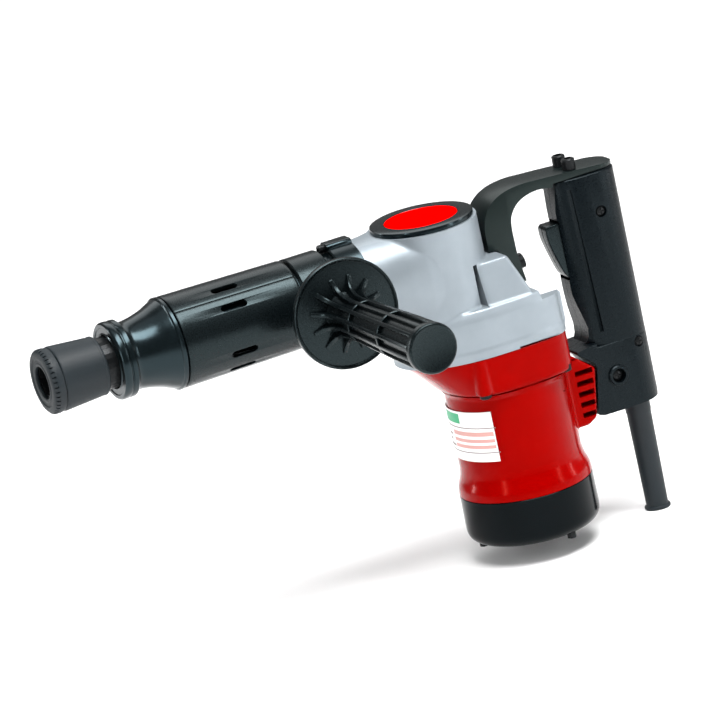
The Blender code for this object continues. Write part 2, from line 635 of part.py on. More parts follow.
def gear_case(aluminium, dark_metal, red_enamel):
    """The aluminium gear housing, the bearing plate in it, and the crank cap with its red disc."""
    housing = rod("gear_housing", HOUSING_R, PARTING_Z, HOUSING_TOP_Z, aluminium, (CRANK_X, 0.0, 0.0), facets=40)
    skirt = [(PARTING_Z, skirt_outline()), (PARTING_Z + 22.0, skirt_outline()), (PARTING_Z + 30.0, skirt_outline(0.93))]
    join(housing, loft("skirt", skirt, None))
    for i, (x, y) in enumerate(SCREW_SPOTS):
        hole = rod(f"screw_hole_{i + 1}", SCREW_R + GAP, PARTING_Z - 1.0, SCREW_TOP_Z + 1.0, None, (x, y, 0.0), facets=12)
        cut(housing, hole)
    shoulder = [
        (CRANK_X + 13.0, PARTING_Z + 5.0), (SKIRT_REAR_X - 1.2, PARTING_Z + 5.0), (SKIRT_REAR_X - 1.2, PARTING_Z + 23.0),
        (SKIRT_REAR_X - 3.0, PARTING_Z + 25.0), (19.0, PARTING_Z + 26.0), (7.0, SHOULDER_TOP_Z),
        (CRANK_X + 13.0, SHOULDER_TOP_Z),
    ]
    join(housing, as_mesh(plate("shoulder", [shoulder], -SHOULDER_HALF, SHOULDER_HALF, None, "Y")))
    neck = rod("neck", FLANGE_R - 2.0, FLANGE_REAR + GAP, CRANK_X, None, (0.0, 0.0, BARREL_Z), "X", ROUND)
    join(housing, neck)
    room = as_mesh(plate("gear_room", [capsule(CRANK_X, GEAR_ROOM_R, 0.0, 20.0)], PARTING_Z - 1.0,
                         GEAR_LOW_Z + GEAR_THICK + 3.5, None))
    cut(housing, room)
    centre = (CRANK_X, 0.0, 0.0)
    cut(housing, rod("bearing_seat", BEARING_UP_R + GAP, GEAR_LOW_Z + GEAR_THICK, CRANK_FLOOR_Z + 1.0, None, centre))
    cut(housing, rod("crank_room", CRANK_ROOM_R, CRANK_FLOOR_Z, HOUSING_TOP_Z + 1.0, None, centre, facets=ROUND))
    cut(housing, rod("cap_seat", CAP_RIM_R + GAP, HOUSING_TOP_Z + 0.1, HOUSING_TOP_Z + 10.0, None, centre, facets=40))
    cut(housing, rod("barrel_bore", CYLINDER_R + 0.4, FLANGE_REAR - 1.0, CRANK_X, None,
                     (0.0, 0.0, BARREL_Z), "X", ROUND))
    plate_piece = as_mesh(plate("inner_housing", [capsule(CRANK_X, GEAR_ROOM_R - 0.4, 0.0, 19.6)],
                                PLATE_LOW_Z, PLATE_HIGH_Z, aluminium))
    seat_r = BEARING_LOW_R + GAP
    cut(plate_piece, rod("crank_seat", seat_r, PLATE_LOW_Z + 3.0, PLATE_HIGH_Z + 1.0, None, centre))
    cut(plate_piece, rod("armature_seat", seat_r, PLATE_LOW_Z + 1.5, PLATE_HIGH_Z + 1.0, None))
    cut(plate_piece, rod("armature_hole", SHAFT_R + 1.0, PLATE_LOW_Z - 1.0, PLATE_LOW_Z + 3.0, None))
    spigot_low = HOUSING_TOP_Z - 3.8
    turned("crank_cap", [
        (0.0, CAP_TOP_Z - 0.9), (BADGE_R + GAP, CAP_TOP_Z - 0.9), (BADGE_R + GAP, CAP_TOP_Z),
        (CAP_RIM_R - 0.8, CAP_TOP_Z), (CAP_RIM_R, CAP_TOP_Z - 0.8), (CAP_RIM_R, HOUSING_TOP_Z + GAP),
        (CRANK_ROOM_R - 0.5, HOUSING_TOP_Z + GAP), (CRANK_ROOM_R - 0.5, spigot_low), (0.0, spigot_low),
    ], dark_metal, centre, facets=ROUND)
    rod("cap_badge", BADGE_R, CAP_TOP_Z - 0.6, CAP_TOP_Z, red_enamel, centre, facets=ROUND)


def motor_case(red_plastic, black_plastic, label_stock, steel):
    """The red motor housing with its vent block, the end cap and the label."""
    def round_section(radius):
        return [(radius * math.cos(2 * math.pi * i / 40), radius * math.sin(2 * math.pi * i / 40)) for i in range(40)]

    low = END_CAP_HEIGHT + GAP
    sections = [
        (low, round_section(END_CAP_R)), (low + 5.0, round_section(END_CAP_R - 0.6)),
        (low + 10.0, round_section(MOTOR_R + 1.2)), (low + 18.0, round_section(MOTOR_R)), (97.0, round_section(MOTOR_R)),
        (PARTING_Z - 13.0, skirt_outline(0.985)), (PARTING_Z - GAP, skirt_outline()),
    ]
    housing = loft("motor_housing", sections, red_plastic)
    join(housing, block("vent_block", (MOTOR_R - 4.0, -VENT_HALF, VENT_LOW_Z), (VENT_REAR_X, VENT_HALF, VENT_HIGH_Z), None))
    cut(housing, rod("motor_bore", MOTOR_BORE_R, low - 1.0, PARTING_Z + 1.0, None, facets=ROUND))
    cut(housing, block("vent_duct", (MOTOR_R - 6.0, 3.0 - VENT_HALF, VENT_LOW_Z + 3.0),
                       (VENT_REAR_X - 3.0, VENT_HALF - 3.0, VENT_HIGH_Z - 3.0), None))
    pitch = (VENT_HIGH_Z - VENT_LOW_Z - 6.0) / VENT_SLOTS
    slots = []
    for i in range(VENT_SLOTS):
        slot_low = VENT_LOW_Z + 3.0 + pitch * (i + 0.5) - 2.2
        slots.append(((MOTOR_R + 3.7, -VENT_HALF - 1.0, slot_low), (VENT_REAR_X - 3.2, VENT_HALF + 1.0, slot_low + 4.4)))
    cut(housing, blocks("vent_slots", slots, None))
    for i, (x, y) in enumerate(SCREW_SPOTS):
        spot = (x, y, 0.0)
        cut(housing, rod(f"screw_pocket_{i + 1}", SCREW_HEAD_R + 0.6, 88.0, SCREW_SEAT_Z, None, spot, facets=16))
        cut(housing, rod(f"screw_way_{i + 1}", SCREW_R + GAP, SCREW_SEAT_Z - 1.0, PARTING_Z + 1.0, None, spot, facets=12))
        turned(f"housing_screw_{i + 1}", [
            (0.0, SCREW_TOP_Z), (SCREW_R, SCREW_TOP_Z), (SCREW_R, SCREW_SEAT_Z - GAP), (SCREW_HEAD_R, SCREW_SEAT_Z - GAP),
            (SCREW_HEAD_R, SCREW_SEAT_Z - 4.3), (0.0, SCREW_SEAT_Z - 4.3),
        ], steel, spot, facets=12)
    turned("motor_end_cap", [
        (0.0, 6.0), (11.3, 6.0), (11.3, 17.0), (15.0, 17.0), (15.0, 5.0), (END_CAP_R - 4.1, 5.0),
        (END_CAP_R - 4.1, END_CAP_HEIGHT), (END_CAP_R, END_CAP_HEIGHT), (END_CAP_R, 7.0), (END_CAP_R - 1.0, 2.6),
        (END_CAP_R - 3.9, 0.0), (0.0, 0.0),
    ], black_plastic, facets=40)
    outer_r = MOTOR_R + GAP + 0.5
    label = turned("label_plate", [(outer_r, LABEL_HIGH_Z), (outer_r, LABEL_LOW_Z)], label_stock, facets=12,
                   sweep=2 * LABEL_HALF_DEG)
    label.rotation_euler.z = math.radians(180.0 - LABEL_HALF_DEG)
    wall = label.modifiers.new("wall", "SOLIDIFY")
    wall.thickness = 0.5 * MM
    wall.offset = -1.0


def motor(steel, copper, brass, carbon, black_plastic):
    """The armature with its pinion, core, commutator and fan, the stator, bearings and brushes."""
    pinion_top = GEAR_LOW_Z + GEAR_THICK + 1.0
    shaft = turned("armature_shaft", [
        (0.0, GEAR_LOW_Z - 1.0), (SHAFT_R, GEAR_LOW_Z - 1.0), (SHAFT_R, 19.0), (TAIL_R, 19.0), (TAIL_R, 6.4), (0.0, 6.4),
    ], steel, facets=20)
    turn = math.pi - math.pi / PINION_TEETH if PINION_TEETH % 2 else math.pi / PINION_TEETH
    teeth = tooth_outline(PINION_TEETH, PINION_PITCH_R, 0.75 * MODULE, 0.95 * MODULE, 0.34, 0.72, turn)
    join(shaft, as_mesh(plate("pinion", [teeth], GEAR_LOW_Z - 2.0, pinion_top, None)))
    ring("armature_core", SHAFT_R + GAP, CORE_R, CORE_LOW_Z, CORE_HIGH_Z, copper)
    ring("commutator", SHAFT_R + GAP, COMMUTATOR_R, BRUSH_Z - 8.0, BRUSH_Z + 8.0, copper)
    blades = []
    for i in range(FAN_BLADES):
        middle = 360.0 * i / FAN_BLADES
        for radius, half in ((14.0, 0.9), (FAN_R, 0.9)):
            spots = (-half, half) if radius == FAN_R else ()
            blades += [(radius * math.cos(math.radians(middle)) - side * math.sin(math.radians(middle)),
                        radius * math.sin(math.radians(middle)) + side * math.cos(math.radians(middle)))
                       for side in spots]
        blades += arc(0.0, 0.0, 14.0, middle + 4.0, middle + 360.0 / FAN_BLADES - 4.0, 2)
    plate("cooling_fan", [blades, circle(0.0, 0.0, SHAFT_R + GAP, 20)], CORE_HIGH_Z + 5.0, CORE_HIGH_Z + 17.0,
          black_plastic)
    ring("stator_core", CORE_R + 1.0, MOTOR_BORE_R - 0.6, CORE_LOW_Z, CORE_HIGH_Z + 1.0, steel)
    ring("motor_bearing_upper", SHAFT_R + GAP, BEARING_LOW_R, PLATE_LOW_Z + 1.9, PLATE_HIGH_Z - 0.8, steel)
    ring("motor_bearing_lower", TAIL_R + GAP, 11.0, 6.3, 14.3, steel, facets=20)
    for name, side in (("left", -1.0), ("right", 1.0)):
        frame = [(-5.5, BRUSH_Z - 6.5), (5.5, BRUSH_Z - 6.5), (5.5, BRUSH_Z + 6.5), (-5.5, BRUSH_Z + 6.5)]
        window = [(-3.5, BRUSH_Z - 4.5), (3.5, BRUSH_Z - 4.5), (3.5, BRUSH_Z + 4.5), (-3.5, BRUSH_Z + 4.5)]
        ends = sorted((side * (COMMUTATOR_R + 3.0), side * (MOTOR_BORE_R - 1.8)))
        plate(f"brush_holder_{name}", [frame, window], ends[0], ends[1], brass, "Y")
        ends = sorted((side * (COMMUTATOR_R + 0.4), side * (MOTOR_BORE_R - 6.0)))
        block(f"carbon_brush_{name}", (-3.2, ends[0], BRUSH_Z - 4.2), (3.2, ends[1], BRUSH_Z + 4.2), carbon)


TRIGGER_FRONT = 44.8
GRIP_FRONT = 54.2


def handle_outline(inset):
    """The rear handle's side view, a wall's thickness in from the edge or at the edge."""
    front = GRIP_FRONT + inset
    rear = HANDLE_REAR_X - inset
    low = HANDLE_LOW_Z + inset
    high = HANDLE_TOP_Z - inset
    foot = VENT_REAR_X + 0.4 + inset
    ledge = VENT_HIGH_Z + GAP + inset
    points = [(rear, low + 3.0), (rear, high - 2.0), (rear - 2.0, high), (front, high), (front - 0.8, 190.0)]
    points += [(front + 0.4, 152.0), (front + 3.0, 118.0), (front + 2.0, 109.0)]
    if inset == 0.0:
        points += [(front - 9.0, ledge + 3.0), (front - 9.0, ledge), (foot, ledge)]
    points += [(foot, low), (rear - 3.0, low)]
    return list(reversed(points))


def handle(black_plastic, black_paint, dark_metal, steel, rubber):
    """The arm over the handle, the two handle halves, the trigger with its spring, the switch and the cord guard."""
    lid_low = HANDLE_TOP_Z + 0.4
    slope_start = (7.4, SHOULDER_TOP_Z + 0.4)
    arm = [
        slope_start, (17.5, 158.0), (23.0, 160.0), (20.4, 178.0), (20.2, 196.0), (22.0, 203.5), (27.0, 209.4),
        (34.0, 212.8), (42.0, 214.0), (GRIP_FRONT - 1.4, 212.0), (GRIP_FRONT - 0.6, lid_low),
        (HANDLE_REAR_X - 2.5, lid_low), (HANDLE_REAR_X - 1.0, lid_low + 1.2), (HANDLE_REAR_X - 3.0, lid_low + 2.6),
        (70.0, lid_low + 3.8), (46.0, 220.6), (30.0, 220.8), (17.0, 218.0), (8.0, 212.5), (3.4, 205.0), (1.8, 197.0),
        (1.8, SHOULDER_TOP_Z + 0.4),
    ]
    plate("handle_arm", [arm], -ARM_HALF, ARM_HALF, black_paint, "Y")
    window_x = (GRIP_FRONT - 12.0, GRIP_FRONT + HANDLE_WALL + 1.5)
    for name, side in (("left", -1.0), ("right", 1.0)):
        ends = sorted((side * HANDLE_HALF, side * GAP / 2))
        half = as_mesh(plate(f"handle_{name}", [handle_outline(0.0)], ends[0], ends[1], black_plastic, "Y"))
        ends = sorted((side * (HANDLE_HALF - HANDLE_WALL), -side))
        cut(half, as_mesh(plate(f"handle_room_{name}", [handle_outline(HANDLE_WALL)], ends[0], ends[1], None, "Y")))
        cut(half, block(f"trigger_window_{name}", (window_x[0], -TRIGGER_HALF - 0.5, 149.6),
                        (window_x[1], TRIGGER_HALF + 0.5, 188.6), None))
        cut(half, rod(f"guard_hole_{name}", GUARD_TOP_R - 1.4, HANDLE_LOW_Z - 2.0, HANDLE_LOW_Z + 6.0, None,
                      (GUARD_X, 0.0, 0.0), facets=20))
    pivot_x, pivot_z = TRIGGER_PIVOT
    trigger = as_mesh(plate("trigger", [[
        (pivot_x + 2.6, pivot_z - 3.4), (pivot_x + 3.0, pivot_z + 4.0), (pivot_x + 2.0, 187.2), (TRIGGER_FRONT + 1.2, 187.2),
        (TRIGGER_FRONT, 184.5), (47.0, 172.0), (50.4, 158.5), (pivot_x - 4.0, pivot_z - 3.4),
    ]], -TRIGGER_HALF, TRIGGER_HALF, black_plastic, "Y"))
    trigger_origin = Vector((pivot_x * MM, 0.0, pivot_z * MM))
    trigger.data.transform(Matrix.Translation(-trigger_origin) @ trigger.matrix_world)
    trigger.matrix_world = Matrix.Translation(trigger_origin)
    block("switch_body", (SWITCH_X[0], -9.0, 146.0), (SWITCH_X[1], 9.0, 192.0), dark_metal)
    spring_start = pivot_x + 2.0 + GAP + 0.8
    helix("trigger_spring", (spring_start, 0.0, 178.0), (1.0, 0.0, 0.0), 2.6,
          SWITCH_X[0] - GAP - 0.5 - spring_start, 3.0, 0.4, steel, steps=10)
    for name, y in (("left", -7.0), ("right", 7.0)):
        head_low = lid_low + 3.9
        rod(f"handle_bolt_{name}", 4.3, head_low + GAP, head_low + 7.5, dark_metal, (69.0, y, 0.0), facets=16)
    lean = math.atan2(178.0 - 160.0, 23.0 - 20.4)
    bolt = rod("arm_bolt", 5.0, GAP, 6.5, dark_metal, facets=16)
    bolt.location = Vector((21.7, 0.0, 169.0)) * MM
    bolt.rotation_euler = (0.0, lean, 0.0)
    turned("cord_guard", [
        (GUARD_BORE_R, HANDLE_LOW_Z - 0.4), (GUARD_TOP_R, HANDLE_LOW_Z - 0.4), (GUARD_LOW_R, GUARD_LOW_Z + 2.4),
        (GUARD_TOP_R + 0.2, GUARD_LOW_Z + 1.8), (GUARD_TOP_R + 0.2, GUARD_LOW_Z), (GUARD_BORE_R, GUARD_LOW_Z),
    ], rubber, (GUARD_X, 0.0, 0.0), closed=True)


def side_handle(black_plastic, dark_metal, steel):
    """The clamp band on the barrel case, its block, the rod and the side grip with its round guard."""
    band_r = CASE_NECK_R + GAP
    barrel_piece("clamp_band", [
        (band_r, BAND_REAR), (band_r + BAND_WALL, BAND_REAR), (band_r + BAND_WALL, BAND_FRONT), (band_r, BAND_FRONT),
    ], dark_metal, closed=True)
    saddle = block("clamp_block", (BAND_FRONT, -BLOCK_OUT, BARREL_Z - 13.0), (BAND_REAR, -20.0, BARREL_Z + 13.0), dark_metal)
    cut(saddle, rod("band_room", band_r + BAND_WALL + GAP, BAND_FRONT - 2.0, BAND_REAR + 2.0, None,
                    (0.0, 0.0, BARREL_Z), "X", ROUND))
    cut(saddle, rod("rod_hole", ROD_R + GAP, 20.0, BLOCK_OUT + 2.0, None, (GRIP_X, 0.0, BARREL_Z), "Y", 20))
    centre = (GRIP_X, 0.0, BARREL_Z)
    rod_out = 100.0
    rod("grip_rod", ROD_R, band_r + BAND_WALL + GAP + 0.5, rod_out, steel, centre, "Y", 20)
    disc_back = GUARD_DISC_AT
    turned("side_grip", [
        (0.0, GRIP_END), (GRIP_R - 1.0, GRIP_END), (GRIP_R, GRIP_END - 1.2), (GRIP_R - 0.4, GRIP_END - 40.0),
        (GRIP_R - 2.0, GRIP_END - 85.0), (GRIP_R - 2.4, disc_back + 14.0), (GRIP_R - 1.0, disc_back + 5.0),
        (GUARD_DISC_R - 2.0, disc_back + 3.2), (GUARD_DISC_R, disc_back + 4.6), (GUARD_DISC_R, disc_back + 1.0),
        (GUARD_DISC_R - 2.0, disc_back), (11.0, disc_back), (11.0, BLOCK_OUT + 0.4), (ROD_R + GAP, BLOCK_OUT + 0.4),
        (ROD_R + GAP, rod_out + 1.0), (0.0, rod_out + 1.0),
    ], black_plastic, centre, "Y", ROUND)


def main():
    global COLLECTION, CUTTERS
    for obj in list(bpy.data.objects):
        bpy.data.objects.remove(obj, do_unlink=True)
    COLLECTION = new_collection("demolition_hammer")
    CUTTERS = new_collection("cutters")
    rubber = finish("matt black rubber", (0.05, 0.055, 0.06), 0.8)
    black_plastic = finish("black glass-filled nylon", (0.025, 0.03, 0.035), 0.5)
    black_paint = finish("gloss black paint", (0.02, 0.023, 0.026), 0.25)
    dark_metal = finish("blackened steel", (0.06, 0.06, 0.065), 0.4, 0.9)
    steel = finish("bright steel", (0.6, 0.61, 0.63), 0.3, 1.0)
    spring_steel = finish("spring steel", (0.45, 0.46, 0.48), 0.35, 1.0)
    aluminium = finish("satin die-cast aluminium", (0.62, 0.66, 0.7), 0.45, 0.9)
    red_plastic = finish("gloss red nylon", (0.75, 0.01, 0.01), 0.3)
    red_enamel = finish("red enamel", (0.9, 0.01, 0.01), 0.35)
    label_stock = finish("white label film", (0.85, 0.86, 0.86), 0.4)
    copper = finish("copper", (0.8, 0.42, 0.25), 0.4, 1.0)
    brass = finish("brass", (0.8, 0.6, 0.25), 0.35, 1.0)
    carbon = finish("carbon", (0.04, 0.04, 0.04), 0.6)
    bit_end(rubber, steel, spring_steel)
    barrel(black_paint, black_plastic, steel, rubber)
    striking_train(steel, aluminium, rubber)
    crank_train(steel)
    gear_case(aluminium, dark_metal, red_enamel)
    motor_case(red_plastic, black_plastic, label_stock, steel)
    motor(steel, copper, brass, carbon, black_plastic)
    handle(black_plastic, black_paint, dark_metal, spring_steel, rubber)
    side_handle(black_plastic, dark_metal, steel)
    for obj in COLLECTION.objects:
        smooth(obj)


main()
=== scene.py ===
"""Looks of the 17 mm hex demolition hammer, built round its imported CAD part.

Sizes are millimetres in the part's frame: the barrel lies along -X, the side grip points to -Y and
the motor hangs along -Z. Every piece is made in metres, in place, with its object at the origin.
"""

import json
import math

import bmesh
import bpy
from mathutils import Matrix, Vector

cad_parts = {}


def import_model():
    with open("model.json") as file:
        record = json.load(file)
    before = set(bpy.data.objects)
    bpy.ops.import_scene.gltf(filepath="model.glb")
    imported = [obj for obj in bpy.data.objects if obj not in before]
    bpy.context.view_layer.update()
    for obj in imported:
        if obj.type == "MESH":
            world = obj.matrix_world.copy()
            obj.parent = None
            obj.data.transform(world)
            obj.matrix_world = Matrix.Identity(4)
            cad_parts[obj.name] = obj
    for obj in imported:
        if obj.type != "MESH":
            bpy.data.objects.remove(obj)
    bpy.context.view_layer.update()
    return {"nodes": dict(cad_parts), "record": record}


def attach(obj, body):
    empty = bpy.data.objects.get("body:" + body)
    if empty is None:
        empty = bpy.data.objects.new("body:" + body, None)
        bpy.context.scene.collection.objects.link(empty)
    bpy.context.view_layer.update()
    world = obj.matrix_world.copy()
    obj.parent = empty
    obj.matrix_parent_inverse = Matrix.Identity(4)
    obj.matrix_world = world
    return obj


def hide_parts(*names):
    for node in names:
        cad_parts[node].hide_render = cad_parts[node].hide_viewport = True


MM = 0.001
ORIGIN = (0.0, 0.0, 0.0)
BARREL_Z = 188.0
ON_BARREL_AXIS = (0.0, 0.0, BARREL_Z)
CRANK_X = -33.5
ON_CRANK_AXIS = (CRANK_X, 0.0, 0.0)
GRIP_X = -117.5  # the side grip's axis
CORD_X = 85.5  # the cord guard's axis
TOWER_R = 34.8
MOTOR_R = 39.3  # the red housing between its flares
FLARE_R = 42.9  # the housing's lower flare, and the end cap under it
LABEL_R = 40.1
JOINT_Z = 127.0  # the aluminium housing's underside
FLOOR_Z = -13.8  # just under the cord guard's end
SCREW_SPOTS = ((-29.0, -35.0), (-29.0, 35.0), (29.2, -31.2), (29.2, 31.2))  # the housings' four screws
SIDES = (-1.0, 1.0)
SHARP_ANGLE = 32.0  # degrees between faces, past which the edge between them shades as sharp

UP = "up"  # an own +Z that stays +Z
AFT = "aft"  # an own +Z laid along +X, to the rear
OUT = "out"  # an own +Z laid along -Y, to the side grip

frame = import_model()


def frame_for(axis, centre=ORIGIN):
    turn = {
        UP: Matrix.Identity(4),
        AFT: Matrix.Rotation(math.radians(90.0), 4, "Y"),
        OUT: Matrix.Rotation(math.radians(90.0), 4, "X"),
    }[axis]
    return Matrix.Translation(Vector(centre) * MM) @ turn


# Shapes


def lathe(profile, axis=UP, centre=ORIGIN, closed=True, steps=96, sweep=360.0):
    """Spins (radius, height) points round the own Z."""
    work = bmesh.new()
    points = [work.verts.new((radius * MM, 0.0, height * MM)) for radius, height in profile]
    edges = [work.edges.new(pair) for pair in zip(points, points[1:])]
    if closed:
        edges.append(work.edges.new((points[-1], points[0])))
    full = sweep >= 360.0
    bmesh.ops.spin(work, geom=points + edges, cent=(0.0, 0.0, 0.0), axis=(0.0, 0.0, 1.0),
                   angle=math.radians(sweep), steps=steps, use_merge=full)
    bmesh.ops.remove_doubles(work, verts=work.verts, dist=1e-6)
    bmesh.ops.recalc_face_normals(work, faces=work.faces)
    bmesh.ops.transform(work, matrix=frame_for(axis, centre), verts=work.verts)
    return work


def solid_lathe(profile, axis=UP, centre=ORIGIN, steps=96):
    """A lathe whose profile starts and ends on the axis."""
    return lathe(profile, axis, centre, closed=False, steps=steps)


def slab(outline, low, high, axis=UP, centre=ORIGIN):
    """Extrudes an outline along the own Z."""
    work = bmesh.new()
    face = work.faces.new([work.verts.new((u * MM, v * MM, low * MM)) for u, v in outline])
    made = bmesh.ops.extrude_face_region(work, geom=[face])["geom"]
    top = [item for item in made if isinstance(item, bmesh.types.BMVert)]
    bmesh.ops.translate(work, vec=(0.0, 0.0, (high - low) * MM), verts=top)
    bmesh.ops.recalc_face_normals(work, faces=work.faces)
    bmesh.ops.transform(work, matrix=frame_for(axis, centre), verts=work.verts)
    return work


def side_slab(outline, low_y, high_y):
    """Extrudes an (x, z) outline from one y to another."""
    return slab(outline, -high_y, -low_y, OUT)


def loft(rings):
    """A closed body through rings of equal count, each a list of (x, y, z)."""
    work = bmesh.new()
    loops = []
    for ring in rings:
        points = [work.verts.new(Vector(point) * MM) for point in ring]
        loops.append([work.edges.new((a, b)) for a, b in zip(points, points[1:] + points[:1])])
    for lower, upper in zip(loops, loops[1:]):
        bmesh.ops.bridge_loops(work, edges=lower + upper)
    for loop in (loops[0], loops[-1]):
        bmesh.ops.holes_fill(work, edges=loop, sides=0)
    bmesh.ops.recalc_face_normals(work, faces=work.faces)
    return work


def box(low, high):
    """A block between two corners."""
    work = bmesh.new()
    bmesh.ops.create_cube(work, size=MM)
    bmesh.ops.scale(work, vec=[b - a for a, b in zip(low, high)], verts=work.verts)
    bmesh.ops.translate(work, vec=(Vector(low) + Vector(high)) / 2 * MM, verts=work.verts)
    return work


def layer(low, high, front):
    """A block that reaches past the tool's sides and rear, for cutting a housing off at a height."""
    return box((front, -60.0, low), (60.0, 60.0, high))


def cylinder(radius, low, high, axis=UP, centre=ORIGIN, steps=64):
    return solid_lathe([(0.0, high), (radius, high), (radius, low), (0.0, low)], axis, centre, steps)


def soften(work, width, segments=3, sharper_than=28.0):
    """Rounds the edges whose faces meet at more than an angle, in degrees."""
    edges = [
        edge for edge in work.edges
        if len(edge.link_faces) == 2 and edge.calc_face_angle(0.0) > math.radians(sharper_than)
    ]
    bmesh.ops.bevel(work, geom=edges, offset=width * MM, offset_type="OFFSET", affect="EDGES",
                    segments=segments, profile=0.5, material=-1, clamp_overlap=True)
    return work


def together(*works):
    """Several separate bodies as one mesh."""
    first = works[0]
    for work in works[1:]:
        mesh = bpy.data.meshes.new("part")
        work.to_mesh(mesh)
        work.free()
        first.from_mesh(mesh)
        bpy.data.meshes.remove(mesh)
    return first


def moved(work, matrix):
    bmesh.ops.transform(work, matrix=matrix, verts=work.verts)
    return work


def about_z(work, angle):
    return moved(work, Matrix.Rotation(angle, 4, "Z"))


def close_ends(work):
    """Caps the open ends of a lathe that stops short of a full turn."""
    bmesh.ops.holes_fill(work, edges=[edge for edge in work.edges if edge.is_boundary], sides=0)
    bmesh.ops.recalc_face_normals(work, faces=work.faces)
    return work


def as_object(work):
    mesh = bpy.data.meshes.new("work")
    work.to_mesh(mesh)
    work.free()
    made = bpy.data.objects.new("work", mesh)
    bpy.context.scene.collection.objects.link(made)
    return made


def evaluated(obj):
    """The object's mesh with its modifiers, as a bmesh. The object is removed."""
    bpy.context.view_layer.update()
    graph = bpy.context.evaluated_depsgraph_get()
    mesh = bpy.data.meshes.new_from_object(obj.evaluated_get(graph))
    work = bmesh.new()
    work.from_mesh(mesh)
    bpy.data.meshes.remove(mesh)
    data = obj.data
    bpy.data.objects.remove(obj)
    bpy.data.meshes.remove(data)
    return work


def joined(work, tool, operation="UNION"):
    """A Boolean of two works, which are both used up."""
    body = as_object(work)
    helper = as_object(tool)
    modifier = body.modifiers.new("cut", "BOOLEAN")
    modifier.operation = operation
    modifier.object = helper
    modifier.solver = "EXACT"
    made = evaluated(body)
    data = helper.data
    bpy.data.objects.remove(helper)
    bpy.data.meshes.remove(data)
    return made


def cut(work, *tools):
    for tool in tools:
        work = joined(work, tool, "DIFFERENCE")
    return work


def united(work, *tools):
    for tool in tools:
        work = joined(work, tool, "UNION")
    return work


def as_casting(work, voxel, passes):
    """Blends a union's inner corners into fillets, as a mould leaves them."""
    body = as_object(work)
    remesh = body.modifiers.new("skin", "REMESH")
    remesh.mode = "VOXEL"
    remesh.voxel_size = voxel * MM
    relax = body.modifiers.new("fillets", "SMOOTH")
    relax.factor = 0.5
    relax.iterations = passes
    return evaluated(body)


def arc(cx, cy, radius, start, end, count=10):
    """Points round a centre from one angle to another, in degrees."""
    angles = [math.radians(start + (end - start) * i / count) for i in range(count + 1)]
    return [(cx + radius * math.cos(a), cy + radius * math.sin(a)) for a in angles]


def flowing(points, per_span=6):
    """A smooth line through the points, ends included."""
    out = []
    for i in range(len(points) - 1):
        before = Vector(points[max(i - 1, 0)])
        start = Vector(points[i])
        end = Vector(points[i + 1])
        after = Vector(points[min(i + 2, len(points) - 1)])
        for step in range(per_span):
            t = step / per_span
            bend = 2 * before - 5 * start + 4 * end - after
            twist = 3 * start - before - 3 * end + after
            spot = 0.5 * (2 * start + (end - before) * t + bend * t * t + twist * t ** 3)
            out.append(tuple(spot))
    out.append(tuple(points[-1]))
    return out


def polar(radius, degrees):
    return (radius * math.cos(math.radians(degrees)), radius * math.sin(math.radians(degrees)))


def mirrored(points):
    """The points, then their images across the middle plane in reverse, as one outline."""
    return points + [(x, -y) for x, y in reversed(points)]


def rounded_square(angle, power):
    """A point on a unit superellipse: a circle at power 2, squarer above it."""
    u = math.copysign(abs(math.cos(angle)) ** (2 / power), math.cos(angle))
    v = math.copysign(abs(math.sin(angle)) ** (2 / power), math.sin(angle))
    return u, v


def show(name, work, material, body="hammer", replaces=()):
    """Makes the finished piece, smooth but for its sharp edges, and ties it to its CAD body."""
    mesh = bpy.data.meshes.new(name)
    work.to_mesh(mesh)
    work.free()
    mesh.materials.append(material)
    mesh.shade_smooth()
    mesh.set_sharp_from_angle(angle=math.radians(SHARP_ANGLE))
    made = bpy.data.objects.new(name, mesh)
    bpy.context.scene.collection.objects.link(made)
    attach(made, body)
    if replaces:
        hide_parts(*replaces)
    return made


# Materials


def colour(hex_code):
    """An sRGB hex colour as the linear colour a shader takes."""
    parts = [int(hex_code[i:i + 2], 16) / 255 for i in (1, 3, 5)]
    linear = [c / 12.92 if c <= 0.04045 else ((c + 0.055) / 1.055) ** 2.4 for c in parts]
    return (*linear, 1.0)


def per_mm(size):
    """The scale at which a noise has about one lump to each size millimetres."""
    return 1.0 / (size * MM)


def add(material, kind, links=None, **settings):
    """Adds a node with its settings, its values and its links."""
    node = material.node_tree.nodes.new(kind)
    for key, value in settings.items():
        setattr(node, key, value)
    for key, value in (links or {}).items():
        if isinstance(value, bpy.types.NodeSocket):
            material.node_tree.links.new(value, node.inputs[key])
        else:
            node.inputs[key].default_value = value
    return node


MIX_COLOURS = (6, 7)  # a mix node has sockets of one name for each data type, so colours go by place
MIX_RESULT = 2


